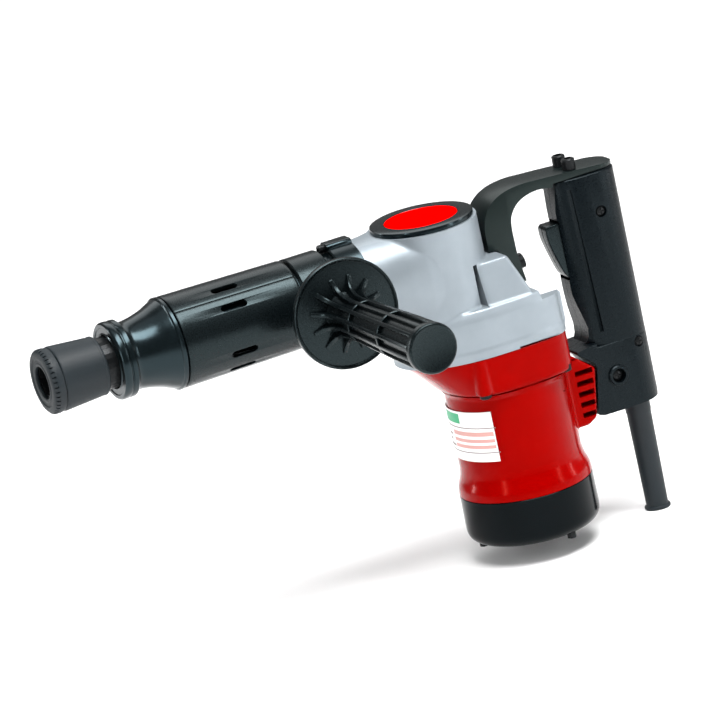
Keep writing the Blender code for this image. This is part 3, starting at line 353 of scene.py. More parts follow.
def surface(name, base, deep, roughness, spread, grain, relief, patch=18.0, **constants):
    """A finish whose colour shifts from base to deep in patches, whose roughness spreads about its
    mean, and which has a relief. Patch, grain and relief are millimetres. The finest real grains,
    of 0.1 to 0.3 mm, are drawn at 0.5 mm or more so that they show."""
    material = bpy.data.materials.new(name)
    material.use_nodes = True
    shader = material.node_tree.nodes["Principled BSDF"]
    place = add(material, "ShaderNodeTexCoord").outputs["Object"]
    broad = add(material, "ShaderNodeTexNoise", {
        "Vector": place, "Scale": per_mm(patch), "Detail": 3.0})
    fine = add(material, "ShaderNodeTexNoise", {
        "Vector": place, "Scale": per_mm(grain), "Detail": 2.0})
    tint = add(material, "ShaderNodeMix", {
        "Factor": broad.outputs["Fac"], MIX_COLOURS[0]: colour(base), MIX_COLOURS[1]: colour(deep),
    }, data_type="RGBA")
    gloss = add(material, "ShaderNodeMapRange", {
        "Value": fine.outputs["Fac"], "From Min": 0.3, "From Max": 0.7,
        "To Min": roughness - spread, "To Max": roughness + spread})
    bump = add(material, "ShaderNodeBump", {
        "Height": fine.outputs["Fac"], "Distance": relief * MM, "Strength": 1.0})
    links = material.node_tree.links
    links.new(tint.outputs[MIX_RESULT], shader.inputs["Base Color"])
    links.new(gloss.outputs["Result"], shader.inputs["Roughness"])
    links.new(bump.outputs["Normal"], shader.inputs["Normal"])
    for key, value in constants.items():
        shader.inputs[key.replace("_", " ")].default_value = value
    material.diffuse_color = colour(base)
    return material


# Die-cast aluminium, shot-blasted and clear-lacquered: a satin silver with a fine grain.
cast_aluminium = surface(
    "die_cast_aluminium_lacquered", "#8f989f", "#80898f", roughness=0.4, spread=0.05, grain=0.8, relief=0.025,
    Metallic=0.35, Specular_IOR_Level=0.4,
)
# Glass-filled nylon moulded in red: semi-gloss, with a faint swirl from the gate.
red_nylon = surface(
    "red_glass_filled_nylon", "#930000", "#7c0000", roughness=0.17, spread=0.02, grain=2.0, relief=0.001,
    patch=24.0, Specular_IOR_Level=0.14, Specular_Tint=colour("#ff6a58"),
)
# Polished black stove enamel on the nose: deep and glossy, cold in its highlights.
black_enamel = surface(
    "black_stove_enamel", "#070c0e", "#040708", roughness=0.22, spread=0.03, grain=1.2, relief=0.008,
    Specular_IOR_Level=0.42, Specular_Tint=colour("#bfe2ee"),
)
# Black nylon, moulded with a light texture: satin with a blue-grey sheen.
black_nylon = surface(
    "black_moulded_nylon", "#060a0c", "#040708", roughness=0.29, spread=0.05, grain=0.7, relief=0.02,
    Specular_IOR_Level=0.34, Specular_Tint=colour("#c8e4ea"),
)
# The same nylon off a polished mould, for the motor's end cap: a deeper black with sharp, faint highlights.
gloss_nylon = surface(
    "black_polished_nylon", "#04070a", "#020405", roughness=0.15, spread=0.03, grain=1.0, relief=0.008,
    Specular_IOR_Level=0.09, Specular_Tint=colour("#dceef2"),
)
# Baked enamel on the strap: black with a green-grey cast where light falls on it.
strap_enamel = surface(
    "black_baked_enamel", "#0f1616", "#0a1010", roughness=0.33, spread=0.05, grain=1.0, relief=0.015,
    Specular_IOR_Level=0.3, Specular_Tint=colour("#d4eae6"),
)
# The handle's spark-eroded mould leaves a coarser grain that breaks up the light.
handle_nylon = surface(
    "spark_textured_nylon", "#04080c", "#020507", roughness=0.34, spread=0.12, grain=0.9, relief=0.12,
    Specular_IOR_Level=0.18, Specular_Tint=colour("#d6ecf4"),
)
# Nitrile rubber with talc in its pores: matt, with slightly paler patches.
rubber = surface(
    "matt_nitrile_rubber", "#151e23", "#0f171b", roughness=0.55, spread=0.08, grain=0.6, relief=0.03,
    Specular_IOR_Level=0.3,
)
# Turned and oiled steel: bright, with soft highlights.
bright_steel = surface(
    "turned_steel", "#b9bcc0", "#9a9ea3", roughness=0.28, spread=0.08, grain=0.5, relief=0.01,
    Metallic=1.0,
)
# Black oxide on steel: dark, with the metal's sheen through it.
blackened_steel = surface(
    "black_oxide_steel", "#191c1e", "#101213", roughness=0.34, spread=0.08, grain=0.5, relief=0.015,
    Metallic=0.5, Specular_IOR_Level=0.3,
)
# Matt red enamel on the cap's disc: one flat, strong colour.
red_enamel = surface(
    "red_enamel", "#f40100", "#ee0100", roughness=0.6, spread=0.03, grain=1.0, relief=0.003,
    Specular_IOR_Level=0.0,
)
# White polyester label film with a slight gloss, and the three inks printed on it.
label_film = surface(
    "white_polyester_film", "#f4f5f4", "#ecedec", roughness=0.4, spread=0.03, grain=1.5, relief=0.004,
    Specular_IOR_Level=0.3,
)
green_ink = surface(
    "green_label_ink", "#3fae7d", "#2f9c6c", roughness=0.4, spread=0.03, grain=1.5, relief=0.002,
    Specular_IOR_Level=0.3,
)
grey_ink = surface(
    "grey_label_ink", "#8e7f7c", "#7a6c6a", roughness=0.45, spread=0.03, grain=1.5, relief=0.002,
    Specular_IOR_Level=0.3,
)
pink_ink = surface(
    "pale_red_label_ink", "#d3a39c", "#ca968f", roughness=0.45, spread=0.03, grain=1.5, relief=0.002,
    Specular_IOR_Level=0.3,
)
# Inside the motor: glossy enamelled windings, satin rolled brass and dull pressed carbon.
copper = surface(
    "enamelled_copper", "#b4683c", "#97522c", roughness=0.35, spread=0.08, grain=0.9, relief=0.05,
    Metallic=0.9,
)
brass = surface(
    "rolled_brass", "#b6985a", "#9c8048", roughness=0.35, spread=0.06, grain=0.6, relief=0.01,
    Metallic=1.0,
)
carbon = surface(
    "pressed_carbon", "#1b1b1c", "#121213", roughness=0.6, spread=0.05, grain=0.4, relief=0.02,
)

SLOT_FINISHES = {
    "matt_rubber": rubber, "bright_steel": bright_steel, "gloss_black_paint": black_enamel,
    "black_nylon": black_nylon, "blackened_steel": blackened_steel, "cast_aluminium": cast_aluminium,
    "red_nylon": red_nylon, "red_enamel": red_enamel, "label_film": label_film, "copper": copper,
    "brass": brass, "carbon": carbon,
}
for part in frame["record"]["subparts"]:
    node = frame["nodes"][part["node"]]
    node.data.materials.clear()
    node.data.materials.append(SLOT_FINISHES[part["material_slot"]])
# The holder's neck, which shows between the sleeve and the nose, is blacked as the bolts are.
frame["nodes"]["tool_holder"].data.materials[0] = blackened_steel


# Pieces


def on_barrel(profile, **settings):
    return lathe(profile, AFT, ON_BARREL_AXIS, **settings)


def dust_cap():
    """The rubber cap, with a serrated lip round the hexagonal mouth."""
    cap = on_barrel([
        (14.3, -293.0), (20.4, -293.0), (20.5, -294.0), (20.8, -295.2), (20.8, -298.2), (20.3, -299.4),
        (18.9, -300.6), (17.6, -301.0), (15.6, -301.0), (15.2, -300.3), (12.8, -300.3), (12.2, -300.9),
        (10.5, -300.5), (10.5, -298.5), (14.3, -298.4),
    ])
    soften(cap, 0.25, 2)
    teeth = 40
    notches = []
    for i in range(teeth):
        notch = box((19.4, -0.45, -301.5), (22.0, 0.45, -297.6))
        notches.append(about_z(notch, math.tau * i / teeth))
    cap = cut(cap, moved(together(*notches), frame_for(AFT, ON_BARREL_AXIS)))
    show("dust_cap_moulding", cap, rubber, replaces=["dust_cap"])


def release_sleeve():
    """The plain tapering sleeve. Its ledge inside clears the spring over the sleeve's whole travel."""
    ledge, wall, rim = 16.0, 16.9, 17.2
    sleeve = on_barrel([
        (wall, -262.5), (18.2, -262.5), (18.9, -263.3), (18.9, -264.6), (18.75, -264.9), (20.75, -290.9),
        (20.6, -292.0), (20.0, -292.7), (rim, -292.7), (rim, -289.5), (ledge, -281.0), (ledge, -279.0),
        (wall, -279.0),
    ])
    show("release_sleeve_moulding", soften(sleeve, 0.2, 2), rubber, "sleeve", ["release_sleeve"])


def nose_cone():
    """The enamelled nose: a hollow cone that runs out into a collar with one fine groove."""
    nose = [(16.9, -214.4), (29.3, -214.4), (29.8, -214.9), (29.8, -216.6), (29.2, -217.3), (28.6, -217.5)]
    nose += flowing([(28.5, -217.9), (27.1, -221.4), (25.0, -226.4), (23.3, -232.4), (22.2, -238.0),
                     (22.0, -242.0), (22.7, -244.6)], 4)
    nose += [
        (23.9, -245.3), (24.7, -246.2), (24.8, -248.2), (24.6, -248.9), (24.1, -249.3), (24.1, -249.8),
        (24.6, -250.2), (24.9, -250.9), (24.9, -253.6), (24.5, -254.6), (23.7, -255.2), (21.8, -255.2),
        (21.3, -254.6), (18.4, -254.6), (17.6, -255.2), (16.9, -254.5),
    ]
    show("nose_cone_enamelled", on_barrel(nose), black_enamel, replaces=["nose_cone"])


def barrel_covers():
    """Two half shells that meet on a slanting plane, each with four air slots."""
    sweep, slots_x, slot_half, slot_end_r = 179.0, -176.0, 6.5, 2.45
    centre = Matrix.Translation(Vector(ON_BARREL_AXIS) * MM)
    for side, seam in (("left", 40.0), ("right", 220.0)):
        shell = close_ends(on_barrel([
            (26.2, -130.9), (28.0, -130.9), (28.35, -131.3), (28.5, -132.2), (28.55, -134.0), (29.6, -210.8),
            (29.6, -212.6), (29.35, -213.4), (28.8, -213.7), (26.9, -213.7),
        ], steps=64, sweep=sweep))
        start = math.radians(180.0 + seam + (180.0 - sweep) / 2)
        moved(shell, centre @ Matrix.Rotation(start, 4, "X") @ centre.inverted())
        for angle in (14.5, 75.5, 104.5, 165.5):
            slot = slab(arc(-slot_half, 0.0, slot_end_r, 90.0, 270.0)
                        + arc(slot_half, 0.0, slot_end_r, -90.0, 90.0), 20.0, 34.0)
            tilt = Matrix.Rotation(math.radians(seam + angle), 4, "X")
            shell = cut(shell, moved(slot, centre @ tilt @ Matrix.Translation((slots_x * MM, 0.0, 0.0))))
        soften(shell, 0.3, 2, 40.0)
        show(f"barrel_cover_{side}_shell", shell, black_nylon, replaces=[f"barrel_cover_{side}"])


def barrel_case():
    """The enamelled case behind the covers, with its flange and the flange's four screws."""
    bore_r, flange_x, screw_r = 20.6, -101.0, 28.2
    case = on_barrel([
        (bore_r, -84.0), (28.0, -84.0), (28.5, -84.5), (28.5, -100.2), (27.7, flange_x), (25.6, flange_x),
        (25.0, -101.8), (25.0, -129.6), (24.4, -130.2), (23.5, -130.2), (23.5, -213.8), (bore_r, -213.8),
    ])
    lug = [(-6.2, 20.0), (6.2, 20.0), (6.2, 29.6), (4.6, 31.0), (-4.6, 31.0), (-6.2, 29.6)]
    lugs = []
    for turn in range(4):
        lugs.append(about_z(soften(slab(lug, flange_x, -84.0), 0.8, 2), math.tau * turn / 4))
    lugs = moved(together(*lugs), frame_for(AFT, ON_BARREL_AXIS))
    bore = cylinder(bore_r, -110.0, -80.0, AFT, ON_BARREL_AXIS)
    show("barrel_case_enamelled", united(case, cut(lugs, bore)), black_enamel, replaces=["barrel_case"])
    for turn in range(4):
        angle = math.radians(90.0 * turn)
        seat = (flange_x, -screw_r * math.sin(angle), BARREL_Z + screw_r * math.cos(angle))
        show(f"flange_screw_{turn + 1}", socket_screw(2.7, 4.4, "front", seat), blackened_steel)


def clamp():
    """The band round the case and the block that holds the side grip's rod."""
    band = on_barrel([
        (25.3, -106.5), (27.6, -106.5), (28.3, -107.2), (28.3, -127.8), (27.6, -128.5), (25.3, -128.5),
    ])
    show("clamp_band_rolled", band, black_nylon, "side_handle", ["clamp_band"])
    block = soften(box((-128.5, -44.0, 175.0), (-106.5, -20.0, 201.0)), 2.0, 4)
    block = cut(block, cylinder(28.6, -132.0, -102.0, AFT, ON_BARREL_AXIS, 96),
                cylinder(5.3, 15.0, 50.0, OUT, (GRIP_X, 0.0, BARREL_Z)))
    show("clamp_block_cast", block, black_nylon, "side_handle", ["clamp_block"])


def socket_screw(radius, height, way, seat):
    """A socket-head screw: chamfered, knurled, with a hex recess. Its seat is the point given."""
    head = solid_lathe([
        (0.0, height), (radius * 0.8, height), (radius, height - radius * 0.16), (radius, 0.3),
        (radius * 0.94, 0.0), (0.0, 0.0),
    ], steps=48)
    hexagon = [polar(radius * 0.58, 60.0 * i) for i in range(6)]
    head = cut(head, slab(hexagon, height * 0.45, height + 1.0))
    grooves = 20
    knurl = []
    for i in range(grooves):
        groove = box((radius * 0.965, -radius * 0.06, height * 0.12),
                     (radius * 1.1, radius * 0.06, height * 0.78))
        knurl.append(about_z(groove, math.tau * i / grooves))
    head = cut(head, together(*knurl))
    turn = {"up": Matrix.Identity(4), "front": Matrix.Rotation(math.radians(-90.0), 4, "Y"),
            "down": Matrix.Rotation(math.radians(180.0), 4, "X")}[way]
    return moved(head, Matrix.Translation(Vector(seat) * MM) @ turn)


def side_grip():
    """The round guard with fins that flare into it, and the ribbed grip with its plain cap."""
    rod_r, guard_face, cap_start = 5.3, 57.2, 183.2
    body = [
        (0.0, 188.8), (13.9, 188.8), (14.4, 189.0), (15.2, 188.8), (15.8, 188.1), (16.0, 187.0),
        (16.0, 183.6), (15.6, 183.0), (13.2, 182.6), (12.6, 149.0), (11.4, 104.0), (10.8, 72.0),
        (11.8, 62.6), (14.0, 59.2), (32.6, 57.3), (33.2, 57.6), (33.7, 58.4), (34.5, 58.7), (35.0, 58.3),
        (35.1, 57.4), (35.1, 55.4), (34.6, 54.4), (33.2, 54.0), (12.2, 54.0), (11.0, 53.2), (11.0, 45.0),
        (10.4, 44.4), (rod_r, 44.4), (rod_r, 101.0), (0.0, 101.0),
    ]
    grip = solid_lathe(body, steps=120)
    tips = flowing([(24.6, 59.4), (20.4, 61.2), (16.6, 64.6), (14.4, 70.0), (13.6, 78.0)], 3)
    tips += [(14.0, 104.0), (15.3, 149.0), (15.8, cap_start)]
    fins = 12
    for i in range(fins):
        fin = slab([(8.0, guard_face), (24.9, guard_face)] + tips + [(8.0, cap_start)], -1.3, 1.3, OUT)
        soften(fin, 0.5, 2)
        grip = joined(grip, about_z(fin, math.tau * (i + 0.5) / fins))
    for at, radius in ((90.0, 13.65), (136.0, 14.8)):
        ring = lathe([(9.0, at - 1.1), (radius - 0.3, at - 1.1), (radius, at - 0.8), (radius, at + 0.8),
                      (radius - 0.3, at + 1.1), (9.0, at + 1.1)])
        grip = joined(grip, ring)
    show("side_grip_moulding", moved(grip, frame_for(OUT, (GRIP_X, 0.0, BARREL_Z))), black_nylon,
         "side_handle", ["side_grip"])


def skirt_ring(height, scale=1.0, front=56.8, count=120):
    """The common outline of the two housings: rounded in front, squarer behind."""
    ring = []
    for i in range(count):
        angle = math.tau * i / count
        behind = math.cos(angle) > 0
        u, v = rounded_square(angle, 4.5 if behind else 2.2)
        reach = 50.0 if behind else front
        ring.append((-12.0 + reach * u * scale, 40.5 * v * scale, height))
    return ring


def throat_ring(x, half, low, high, power, count=120):
    """An oval across the barrel's axis, where the neck widens into the tower."""
    middle, reach = (low + high) / 2, (high - low) / 2
    ring = []
    for i in range(count):
        y, z = rounded_square(math.tau * i / count, power)
        ring.append((x, half * y, middle + reach * z))
    return ring


def round_ring(height, radius, count=120):
    return [(*polar(radius, 360.0 * i / count), height) for i in range(count)]


def housing_blank():
    """Tower, skirt, rear floor, gussets and neck, run into one another with soft fillets."""
    tower = cylinder(TOWER_R, 117.0, 220.0, centre=ON_CRANK_AXIS, steps=160)
    skirt = loft([
        skirt_ring(117.0, 1.01, 53.0), skirt_ring(JOINT_Z, 1.01, 54.5), skirt_ring(132.6, 1.01, 56.2),
        skirt_ring(133.4, 1.0, 56.6), skirt_ring(152.0), skirt_ring(154.5, 0.98), skirt_ring(158.0, 0.94),
    ])
    floor = side_slab([(-22.0, 132.0), (36.8, 132.0), (36.8, 151.5), (35.0, 153.0), (-22.0, 153.5)],
                      -30.0, 30.0)
    gussets = loft([
        [(-22.0, -26.0, z), (-14.2, -half, z), (rear, -half, z), (rear, half, z), (-14.2, half, z),
         (-22.0, 26.0, z)]
        for z, rear, half in ((149.0, 19.6, 39.4), (157.0, 16.8, 36.6), (184.0, 7.0, 29.0))
    ])
    neck = loft([
        throat_ring(x, half, low, high, power)
        for x, half, low, high, power in (
            (-94.0, 27.0, 161.0, 215.0, 2.0), (-82.0, 27.2, 160.6, 215.2, 2.0),
            (-72.0, 28.6, 158.6, 216.0, 2.1), (-60.0, 31.6, 154.0, 217.0, 2.4),
            (-48.0, 33.8, 148.0, 218.0, 2.8), (CRANK_X, 34.4, 142.0, 218.0, 3.0))
    ])
    return as_casting(united(tower, skirt, floor, soften(gussets, 1.2, 2), neck), 0.85, 5)


def gear_housing():
    """The aluminium casting, machined flat above and below and hollow for the crank and the gears."""
    casting = housing_blank()
    for side in SIDES:
        y = sorted((21.5 * side, 42.0 * side))
        slot = soften(box((-18.2, y[0], 157.6), (-14.9, y[1], 184.6)), 0.4, 2)
        y = sorted((37.5 * side, 45.0 * side))
        joint_gap = box((-2.0, y[0], JOINT_Z - 1.0), (27.0, y[1], JOINT_Z + 1.3))
        casting = cut(casting, slot, joint_gap)
    gear_room = arc(CRANK_X, 0.0, 32.0, 90.0, 270.0, 24) + arc(0.0, 0.0, 20.0, -90.0, 90.0, 24)
    casting = cut(
        casting,
        layer(100.0, JOINT_Z, -120.0),
        layer(213.0, 230.0, -120.0),
        box((-100.0, -60.0, 150.0), (-83.7, 60.0, 225.0)),
        soften(box((19.8, -60.0, 152.6), (60.0, 60.0, 200.0)), 0.4, 1),
        soften(box((23.0, -27.0, 141.0), (60.0, 27.0, 170.0)), 3.0, 4),
        slab(gear_room, 120.0, 155.5),
        cylinder(17.7, 150.0, 170.0, centre=ON_CRANK_AXIS),
        cylinder(30.5, 168.8, 220.0, centre=ON_CRANK_AXIS, steps=96),
        cylinder(20.4, -90.0, CRANK_X, AFT, ON_BARREL_AXIS, 96),
    )
    show("gear_housing_casting", casting, cast_aluminium, replaces=["gear_housing"])


def crank_cap():
    """The black cap on the tower, and the plain red disc let into it."""
    cap = solid_lathe([
        (0.0, 215.5), (23.5, 215.5), (23.6, 215.6), (23.6, 216.1), (23.9, 216.4), (32.1, 216.4),
        (32.8, 216.1), (33.0, 215.4), (33.0, 213.3), (30.0, 213.3), (30.0, 209.2), (0.0, 209.2),
    ], centre=ON_CRANK_AXIS, steps=128)
    show("crank_cap_turned", cap, black_enamel, replaces=["crank_cap"])
    badge = cylinder(23.3, 215.8, 216.35, centre=ON_CRANK_AXIS, steps=128)
    show("cap_badge_disc", badge, red_enamel, replaces=["cap_badge"])


def vent_slots():
    """Five slots through each side of the vent block, each a little deeper than the one below."""
    slots = []
    for i in range(5):
        z = 64.5 + 6.9 * i
        for side in SIDES:
            y = sorted((6.5 * side, 20.0 * side))
            slots.append(soften(box((40.8, y[0], z - 1.8), (50.2 + 0.75 * i, y[1], z + 1.8)), 0.5, 2))
    return together(*slots)


def motor_housing():
    """The red housing: a round body that flares at its foot and widens into the skirt at its top."""
    body = loft([
        round_ring(24.0, FLARE_R), round_ring(33.0, FLARE_R), round_ring(36.0, 42.5),
        round_ring(38.5, 41.7), round_ring(41.0, 40.7), round_ring(44.5, 39.8), round_ring(49.0, MOTOR_R),
        round_ring(90.0, MOTOR_R), round_ring(98.0, MOTOR_R), skirt_ring(102.6, 0.985, 30.0),
        skirt_ring(103.8, 1.0, 31.5), skirt_ring(112.0, 1.0, 38.5), skirt_ring(120.0, 1.0, 46.0),
        skirt_ring(126.7, 1.0, 53.0), skirt_ring(134.0, 1.0, 56.0),
    ])
    bosses = [cylinder(5.4, 103.6, 132.0, centre=(x, y, 0.0), steps=40) for x, y in SCREW_SPOTS if x < 0.0]
    vent = side_slab([(28.0, 104.0), (42.0, 104.0), (55.5, 92.5), (50.3, 61.0), (44.0, 57.5), (28.0, 57.5)],
                     -16.5, 16.5)
    shell = as_casting(united(united(body, *bosses), soften(vent, 1.2, 2)), 0.8, 3)
    shadow_line = cut(cylinder(70.0, 101.3, 102.5, steps=96), cylinder(38.7, 100.0, 104.0, steps=120))
    shell = cut(
        shell, vent_slots(),
        layer(10.0, 31.0, -90.0),
        layer(JOINT_Z - 0.3, 140.0, -90.0),
        cylinder(35.8, 20.0, 135.0, steps=96),
        shadow_line,
        *[cylinder(4.3, 88.0, 105.6, centre=(x, y, 0.0), steps=40) for x, y in SCREW_SPOTS],
    )
    show("motor_housing_moulding", shell, red_nylon, replaces=["motor_housing"])
    for i, (x, y) in enumerate(SCREW_SPOTS):
        show(f"housing_screw_{i + 1}_head", socket_screw(3.8, 4.4, "down", (x, y, 105.4)),
             blackened_steel, replaces=[f"housing_screw_{i + 1}"])


def motor_end_cap():
    """The black cup under the motor, with a rounded foot and a seat for the lower bearing."""
    foot = flowing([(FLARE_R, 8.0), (42.5, 5.2), (41.4, 2.8), (39.6, 1.0), (37.6, 0.0)], 4)
    cup = [(0.0, 6.0), (11.3, 6.0), (11.3, 17.0), (15.0, 17.0), (15.0, 5.0), (38.8, 5.0), (38.8, 30.7),
           (42.6, 30.7), (FLARE_R, 30.4)]
    show("motor_end_cap_moulding", solid_lathe(cup + foot + [(0.0, 0.0)], steps=160), gloss_nylon,
         replaces=["motor_end_cap"])


def label():
    """A white film wrapped round the housing's side."""
    film = close_ends(lathe([(39.6, 57.7), (LABEL_R, 57.7), (LABEL_R, 90.5), (39.6, 90.5)], steps=60,
                            sweep=104.0))
    show("label_wrapped", about_z(film, math.radians(125.0)), label_film, replaces=["label_plate"])


def end_cap_bolts():
    """Three hexagon heads under the end cap."""
    for i in range(3):
        x, y = polar(34.2, -73.0 + 120.0 * i)
        bolt = slab([polar(3.2, 60.0 * k) for k in range(6)], -4.2, 0.6, centre=(x, y, 0.0))
        show(f"end_cap_bolt_{i + 1}", soften(bolt, 0.5, 2), blackened_steel)


def label_marks():
    """Plain coloured fields and bars stand for the label's print: (start, end, low, high) each."""
    marks = [
        ("green_field", green_ink, [(160.0, 192.0, 82.5, 89.0)]),
        ("grey_bars", grey_ink, [
            (150.0, 231.0, 79.6, 80.2), (150.0, 231.0, 63.4, 64.0), (152.0, 176.0, 66.0, 67.4),
            (152.0, 170.0, 69.6, 71.0), (152.0, 173.0, 73.4, 74.6)]),
        ("pale_bars", pink_ink, [
            (178.0, 228.0, 66.4, 68.6), (178.0, 228.0, 70.4, 72.6), (178.0, 228.0, 74.6, 77.4)]),
    ]
    ink_r = LABEL_R + 0.1
    for name, ink, patches in marks:
        made = []
        for start, end, low, high in patches:
            patch = lathe([(LABEL_R, low), (ink_r, low), (ink_r, high), (LABEL_R, high)], steps=24,
                          sweep=end - start)
            made.append(about_z(close_ends(patch), math.radians(start)))
        show(name, together(*made), ink)


def strap():
    """The enamelled strap that rises behind the tower and runs back over the handle."""
    side = [(7.4, 184.4), (17.5, 158.0), (23.0, 160.0), (20.4, 178.0)]
    side += flowing([(20.2, 190.0), (20.4, 197.0), (22.0, 203.5), (27.0, 209.4), (34.0, 212.8),
                     (42.0, 214.0), (49.0, 213.2), (52.8, 212.4)], 4)
    side += [(53.6, 214.8), (97.8, 214.8), (99.2, 216.0), (98.4, 217.2)]
    side += flowing([(92.0, 217.6), (70.0, 218.9), (46.0, 220.3), (30.0, 220.8), (17.0, 218.4),
                     (8.0, 212.9), (3.4, 205.4), (1.8, 197.0)], 4)
    side += [(1.8, 184.4)]
    plan = mirrored([(-4.0, -13.0), (86.5, -13.0)] + arc(86.5, 0.0, 13.0, -90.0, 0.0, 14)[1:])
    band = joined(side_slab(side, -14.0, 14.0), slab(plan, 150.0, 230.0), "INTERSECT")
    show("handle_strap", soften(band, 1.6, 3, 40.0), strap_enamel, replaces=["handle_arm"])


HANDLE_TOP = 214.3
HANDLE_SIDE = [
    (98.0, HANDLE_TOP), (56.0, HANDLE_TOP), (54.6, 200.0), (53.5, 190.0), (53.0, 168.0), (52.8, 148.0),
    (55.2, 132.0), (58.2, 117.0), (57.6, 111.0), (55.6, 107.6), (52.0, 106.2), (45.6, 105.2),
    (45.6, 103.6), (55.0, 96.0), (57.0, 92.6), (51.6, 61.8), (56.0, 60.4), (72.0, 60.2), (96.5, 61.0),
    (100.0, 64.6), (100.0, 212.0),
]
HANDLE_ROOM = [
    (94.0, 210.0), (60.0, 210.0), (58.2, 190.0), (57.8, 152.0), (61.4, 118.0), (60.6, 92.0),
    (58.0, 66.0), (94.0, 66.0),
]
# Each side screw of the handle: its x and z, the radius of its pit and of its head.
HANDLE_SCREWS = ((81.0, 189.0, 3.8, 3.1), (89.0, 100.0, 3.6, 3.0), (70.0, 83.0, 4.6, 3.9))


def handle_plan():
    """The handle seen from above at every height: an oval grip, on a broader foot."""
    front = [(54.0, -6.5), (56.0, -9.6), (60.0, -12.4), (66.0, -14.6), (73.0, -15.6)]
    oval = front + arc(84.4, 0.0, 15.6, -90.0, 90.0, 24) + [(x, -y) for x, y in reversed(front)]
    foot = [(40.0, -16.0)] + arc(84.0, 0.0, 16.0, -90.0, 90.0, 24) + [(40.0, 16.0)]
    return united(
        soften(slab(oval, 100.0, HANDLE_TOP), 1.2, 3, 50.0), soften(slab(foot, 56.0, 104.5), 0.9, 3, 50.0),
        soften(box((40.0, -16.0, 100.0), (60.0, 16.0, 107.0)), 0.8, 2))


def handle_shells():
    """The two grained half shells, hollow for the switch, with screw pits and a groove in each side."""
    whole = joined(soften(side_slab(HANDLE_SIDE, -17.0, 17.0), 1.6, 3, 50.0), handle_plan(), "INTERSECT")
    for x, z, radius, _ in HANDLE_SCREWS:
        centre = (x, 0.0, z)
        if radius > 4.0:  # the largest screw sits in a raised ring
            raised = [(4.0, 14.0), (6.6, 14.0), (6.6, 17.2), (6.0, 17.8), (4.6, 17.8), (4.0, 17.2)]
            whole = united(whole, lathe(raised, OUT, centre, steps=48))
        whole = cut(whole, cylinder(radius, 13.0, 20.0, OUT, centre, 40),
                    cylinder(radius, -20.0, -13.0, OUT, centre, 40))
    groove = [(61.6, 208.0), (64.4, 208.0), (67.0, 113.0), (64.2, 113.0)]
    trigger_mouth = soften(box((40.0, -7.2, 149.4), (62.5, 7.2, 188.8)), 1.0, 2)
    whole = cut(whole, soften(side_slab(groove, 12.6, 20.0), 0.5, 2),
                soften(side_slab(groove, -20.0, -12.6), 0.5, 2), side_slab(HANDLE_ROOM, -11.0, 11.0),
                trigger_mouth, cylinder(6.8, 50.0, 70.0, centre=(CORD_X, 0.0, 0.0)))
    split = 0.15  # half the gap between the shells
    for name, side in zip(("left", "right"), SIDES):
        y = sorted((side * split, -side * 40.0))
        half = cut(whole.copy(), box((30.0, y[0], 40.0), (110.0, y[1], 230.0)))
        show(f"handle_{name}_shell", half, handle_nylon, replaces=[f"handle_{name}"])
    whole.free()


def handle_screws():
    """A cross-recessed screw in each pit on the grip's side."""
    wide, thin = 2.1, 0.45
    recess = [(-thin, -wide), (thin, -wide), (thin, -thin), (wide, -thin), (wide, thin), (thin, thin),
              (thin, wide), (-thin, wide), (-thin, thin), (-wide, thin), (-wide, -thin), (-thin, -thin)]
    for i, (x, z, _, radius) in enumerate(HANDLE_SCREWS):
        screw = solid_lathe([(0.0, 15.4), (radius * 0.55, 15.3), (radius * 0.9, 14.6), (radius, 13.2),
                             (0.0, 13.2)], OUT, (x, 0.0, z), 40)
        cross = side_slab([(x + u, z + v) for u, v in recess], -17.0, -14.4)
        show(f"handle_screw_{i + 1}", cut(screw, cross), blackened_steel)


def handle_bolts():
    """Two socket screws hold the strap down on the handle's top."""
    for name, y in (("left", -7.0), ("right", 7.0)):
        show(f"handle_bolt_{name}_head", socket_screw(4.3, 7.2, "up", (69.0, y, 219.1)), blackened_steel,
             replaces=[f"handle_bolt_{name}"])


def trigger():
    """The curved trigger, with a slit down its front and a bore behind that clears its spring."""
    side = [(61.1, 150.8), (61.4, 158.0), (60.5, 187.1), (47.0, 187.1)]
    side += flowing([(45.2, 185.4), (45.4, 179.0), (47.0, 171.5), (49.4, 163.0), (52.0, 155.0),
                     (54.6, 150.8)], 4)
    slit = box((40.0, -0.5, 140.0), (53.0, 0.5, 186.0))
    spring_bore = cylinder(3.7, 57.0, 66.0, AFT, (0.0, 0.0, 178.0), 40)
    blade = cut(soften(side_slab(side, -6.4, 6.4), 1.4, 3, 40.0), slit, spring_bore)
    show("trigger_moulding", blade, black_nylon, "trigger", ["trigger"])


def cord_guard():
    """The tapering rubber guard, hollow for the cord, with a rolled lip at its end."""
    bore_r = 3.6
    wall = [
        (bore_r, 59.4), (7.6, 59.4), (8.2, 58.8), (8.2, 52.0), (7.9, 51.0), (7.1, -10.6), (7.3, -11.4),
        (8.2, -11.8), (8.45, -12.3), (8.4, -13.2), (8.0, -13.6), (3.9, -13.6), (bore_r, -13.3),
    ]
    show("cord_guard_moulding", lathe(wall, centre=(CORD_X, 0.0, 0.0), steps=72), rubber,
         replaces=["cord_guard"])


def hammer():
    dust_cap()
    release_sleeve()
    nose_cone()
    barrel_covers()
    barrel_case()
    clamp()
    side_grip()
    gear_housing()
    crank_cap()
    motor_housing()
    motor_end_cap()
    label()
    end_cap_bolts()
    label_marks()
    strap()
    handle_shells()
    handle_screws()
    handle_bolts()
    trigger()
    cord_guard()


# Studio


